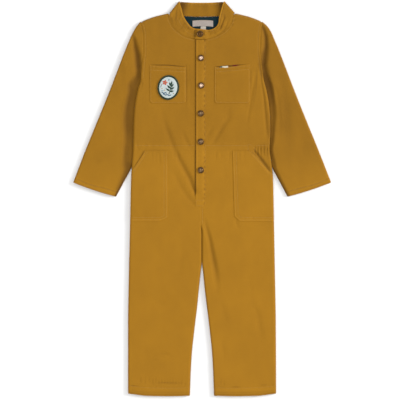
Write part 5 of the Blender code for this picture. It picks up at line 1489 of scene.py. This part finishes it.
small = {"ochre": [satin(leaf(x, y, 2.6, 2.4, 0), pi / 2) for x, y in ((-10.8, 10.4), (-15.5, -4), (-9.0, -7.5), (13.2, -12.5))],
         "plum": [satin(ribbon([(-17.0 + 3.0 * sin(t), 2 + 13 * t) for t in np.linspace(-0.3, 0.3, 8)], 1.0), 0.2),
                  satin(leaf(-6, -2.2, 2.2, 2.0, 0), pi / 2), satin(leaf(-2.2, 17.2, 2.2, 2.0, 0), pi / 2)],
         "sky": [satin(leaf(-16, -9.4, 7, 1.6, 8), pi / 2), satin(leaf(-4, 20.4, 6.4, 1.5, -14), pi / 2)]}
for name, fills, colour in (("badge_leaves", sprig, rgb(16, 58, 42)), ("badge_petals", petals, rgb(196, 84, 60)),
                            ("badge_waves", water, rgb(36, 86, 118)), ("badge_ochre", small["ochre"], rgb(182, 136, 48)),
                            ("badge_plum", small["plum"], rgb(92, 36, 52)), ("badge_sky", small["sky"], rgb(112, 152, 172))):
    threads = [one for fill in fills for one in fill]
    badge_parts.append(threads_mesh(name, threads, thread(name + "_thread", colour, 0.4)))

# %% [markdown]
# ## Dress the model
# Each shell gets its finish, takes its solid's place and rides on the one body.

# %% Finishes and places
FINISH_OF = {"corduroy": cord_finish, "lining": lining_finish, "label": label_finish, "tab": tab_finish,
             "lining_print": strip_finish}
SLOT_OF = {"neck_lining": "lining", "neck_label": "label", "size_tab": "tab", "pocket_lining": "lining_print",
           "badge": "badge", **{f"snap_{n}": "metal" for n in range(1, 7)}}
for node, piece in pieces.items():
    slot = SLOT_OF.get(node, "corduroy")
    if slot in FINISH_OF:
        piece.data.materials.append(FINISH_OF[slot])
    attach(piece, "root")
    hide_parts(node)
for piece in stitching.values():
    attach(piece, "root")
for piece in badge_parts:
    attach(piece, "root")

Cut = namedtuple("Cut", "wide tall rests_on area")

# %% [markdown]
# ## Floor, light and camera
# The garment lies on a plain pale floor in a bright, soft studio: light from all round, and a large soft
# lamp low on the right, which brings out the creases and leaves a faint shade on the left.

# %% Floor and light
def make_floor():
    bpy.ops.object.select_all(action="DESELECT")
    bpy.ops.mesh.primitive_plane_add(size=8.0, location=(0, 0, -0.4 * MM))
    floor = bpy.context.object
    floor.name = "floor"
    bpy.ops.object.transform_apply(location=True, rotation=False, scale=False)
    paper = Finish("pale_floor", Roughness=0.9, Specular_IOR_Level=0.1)
    place = paper.node("ShaderNodeTexCoord", None, None, out="Object")
    paper.feed(Base_Color=paper.blend(paper.noise(place, 6.0, 2.0), rgb(226, 226, 226), rgb(230, 230, 230)))
    floor.data.materials.append(paper.material)
    return floor


def lamp(name, place, aim, size, power, colour=(1.0, 1.0, 1.0)):
    data = bpy.data.lights.new(name, "AREA")
    data.shape, data.size, data.energy, data.color = "DISK", size, power, colour
    light = bpy.data.objects.new(name, data)
    light.location = place
    light.rotation_euler = (Vector(aim) - Vector(place)).to_track_quat("-Z", "Y").to_euler()
    bpy.context.scene.collection.objects.link(light)
    return light


floor = make_floor()
lamp("key", (5.4, 1.5, 2.5), (0, 0, 0), 2.4, 370)
lamp("fill", (-1.0, -2.6, 3.2), (0, -0.1, 0), 2.4, 30)
lamp("overhead", (-0.35, 0.62, 3.6), (0, 0, 0), 0.8, 22)
world = bpy.data.worlds.new("studio")
bpy.context.scene.world = world
world.use_nodes = True
world.node_tree.nodes["Background"].inputs["Color"].default_value = (1.0, 1.0, 1.0, 1.0)
world.node_tree.nodes["Background"].inputs["Strength"].default_value = 0.82
bpy.context.scene.view_settings.view_transform = "Standard"

# %% Camera, straight above with a long lens
PICTURE_WIDE, LENS, SENSOR = 0.94, 200.0, 36.0
camera_data = bpy.data.cameras.new("above")
camera_data.lens, camera_data.sensor_width = LENS, SENSOR
camera = bpy.data.objects.new("above", camera_data)
camera.location = (-4.1 * MM, -1.2 * MM, PICTURE_WIDE * LENS / SENSOR + 6 * MM)
bpy.context.scene.collection.objects.link(camera)
bpy.context.scene.camera = camera
print("camera height:", round(camera.location.z, 3), "m")
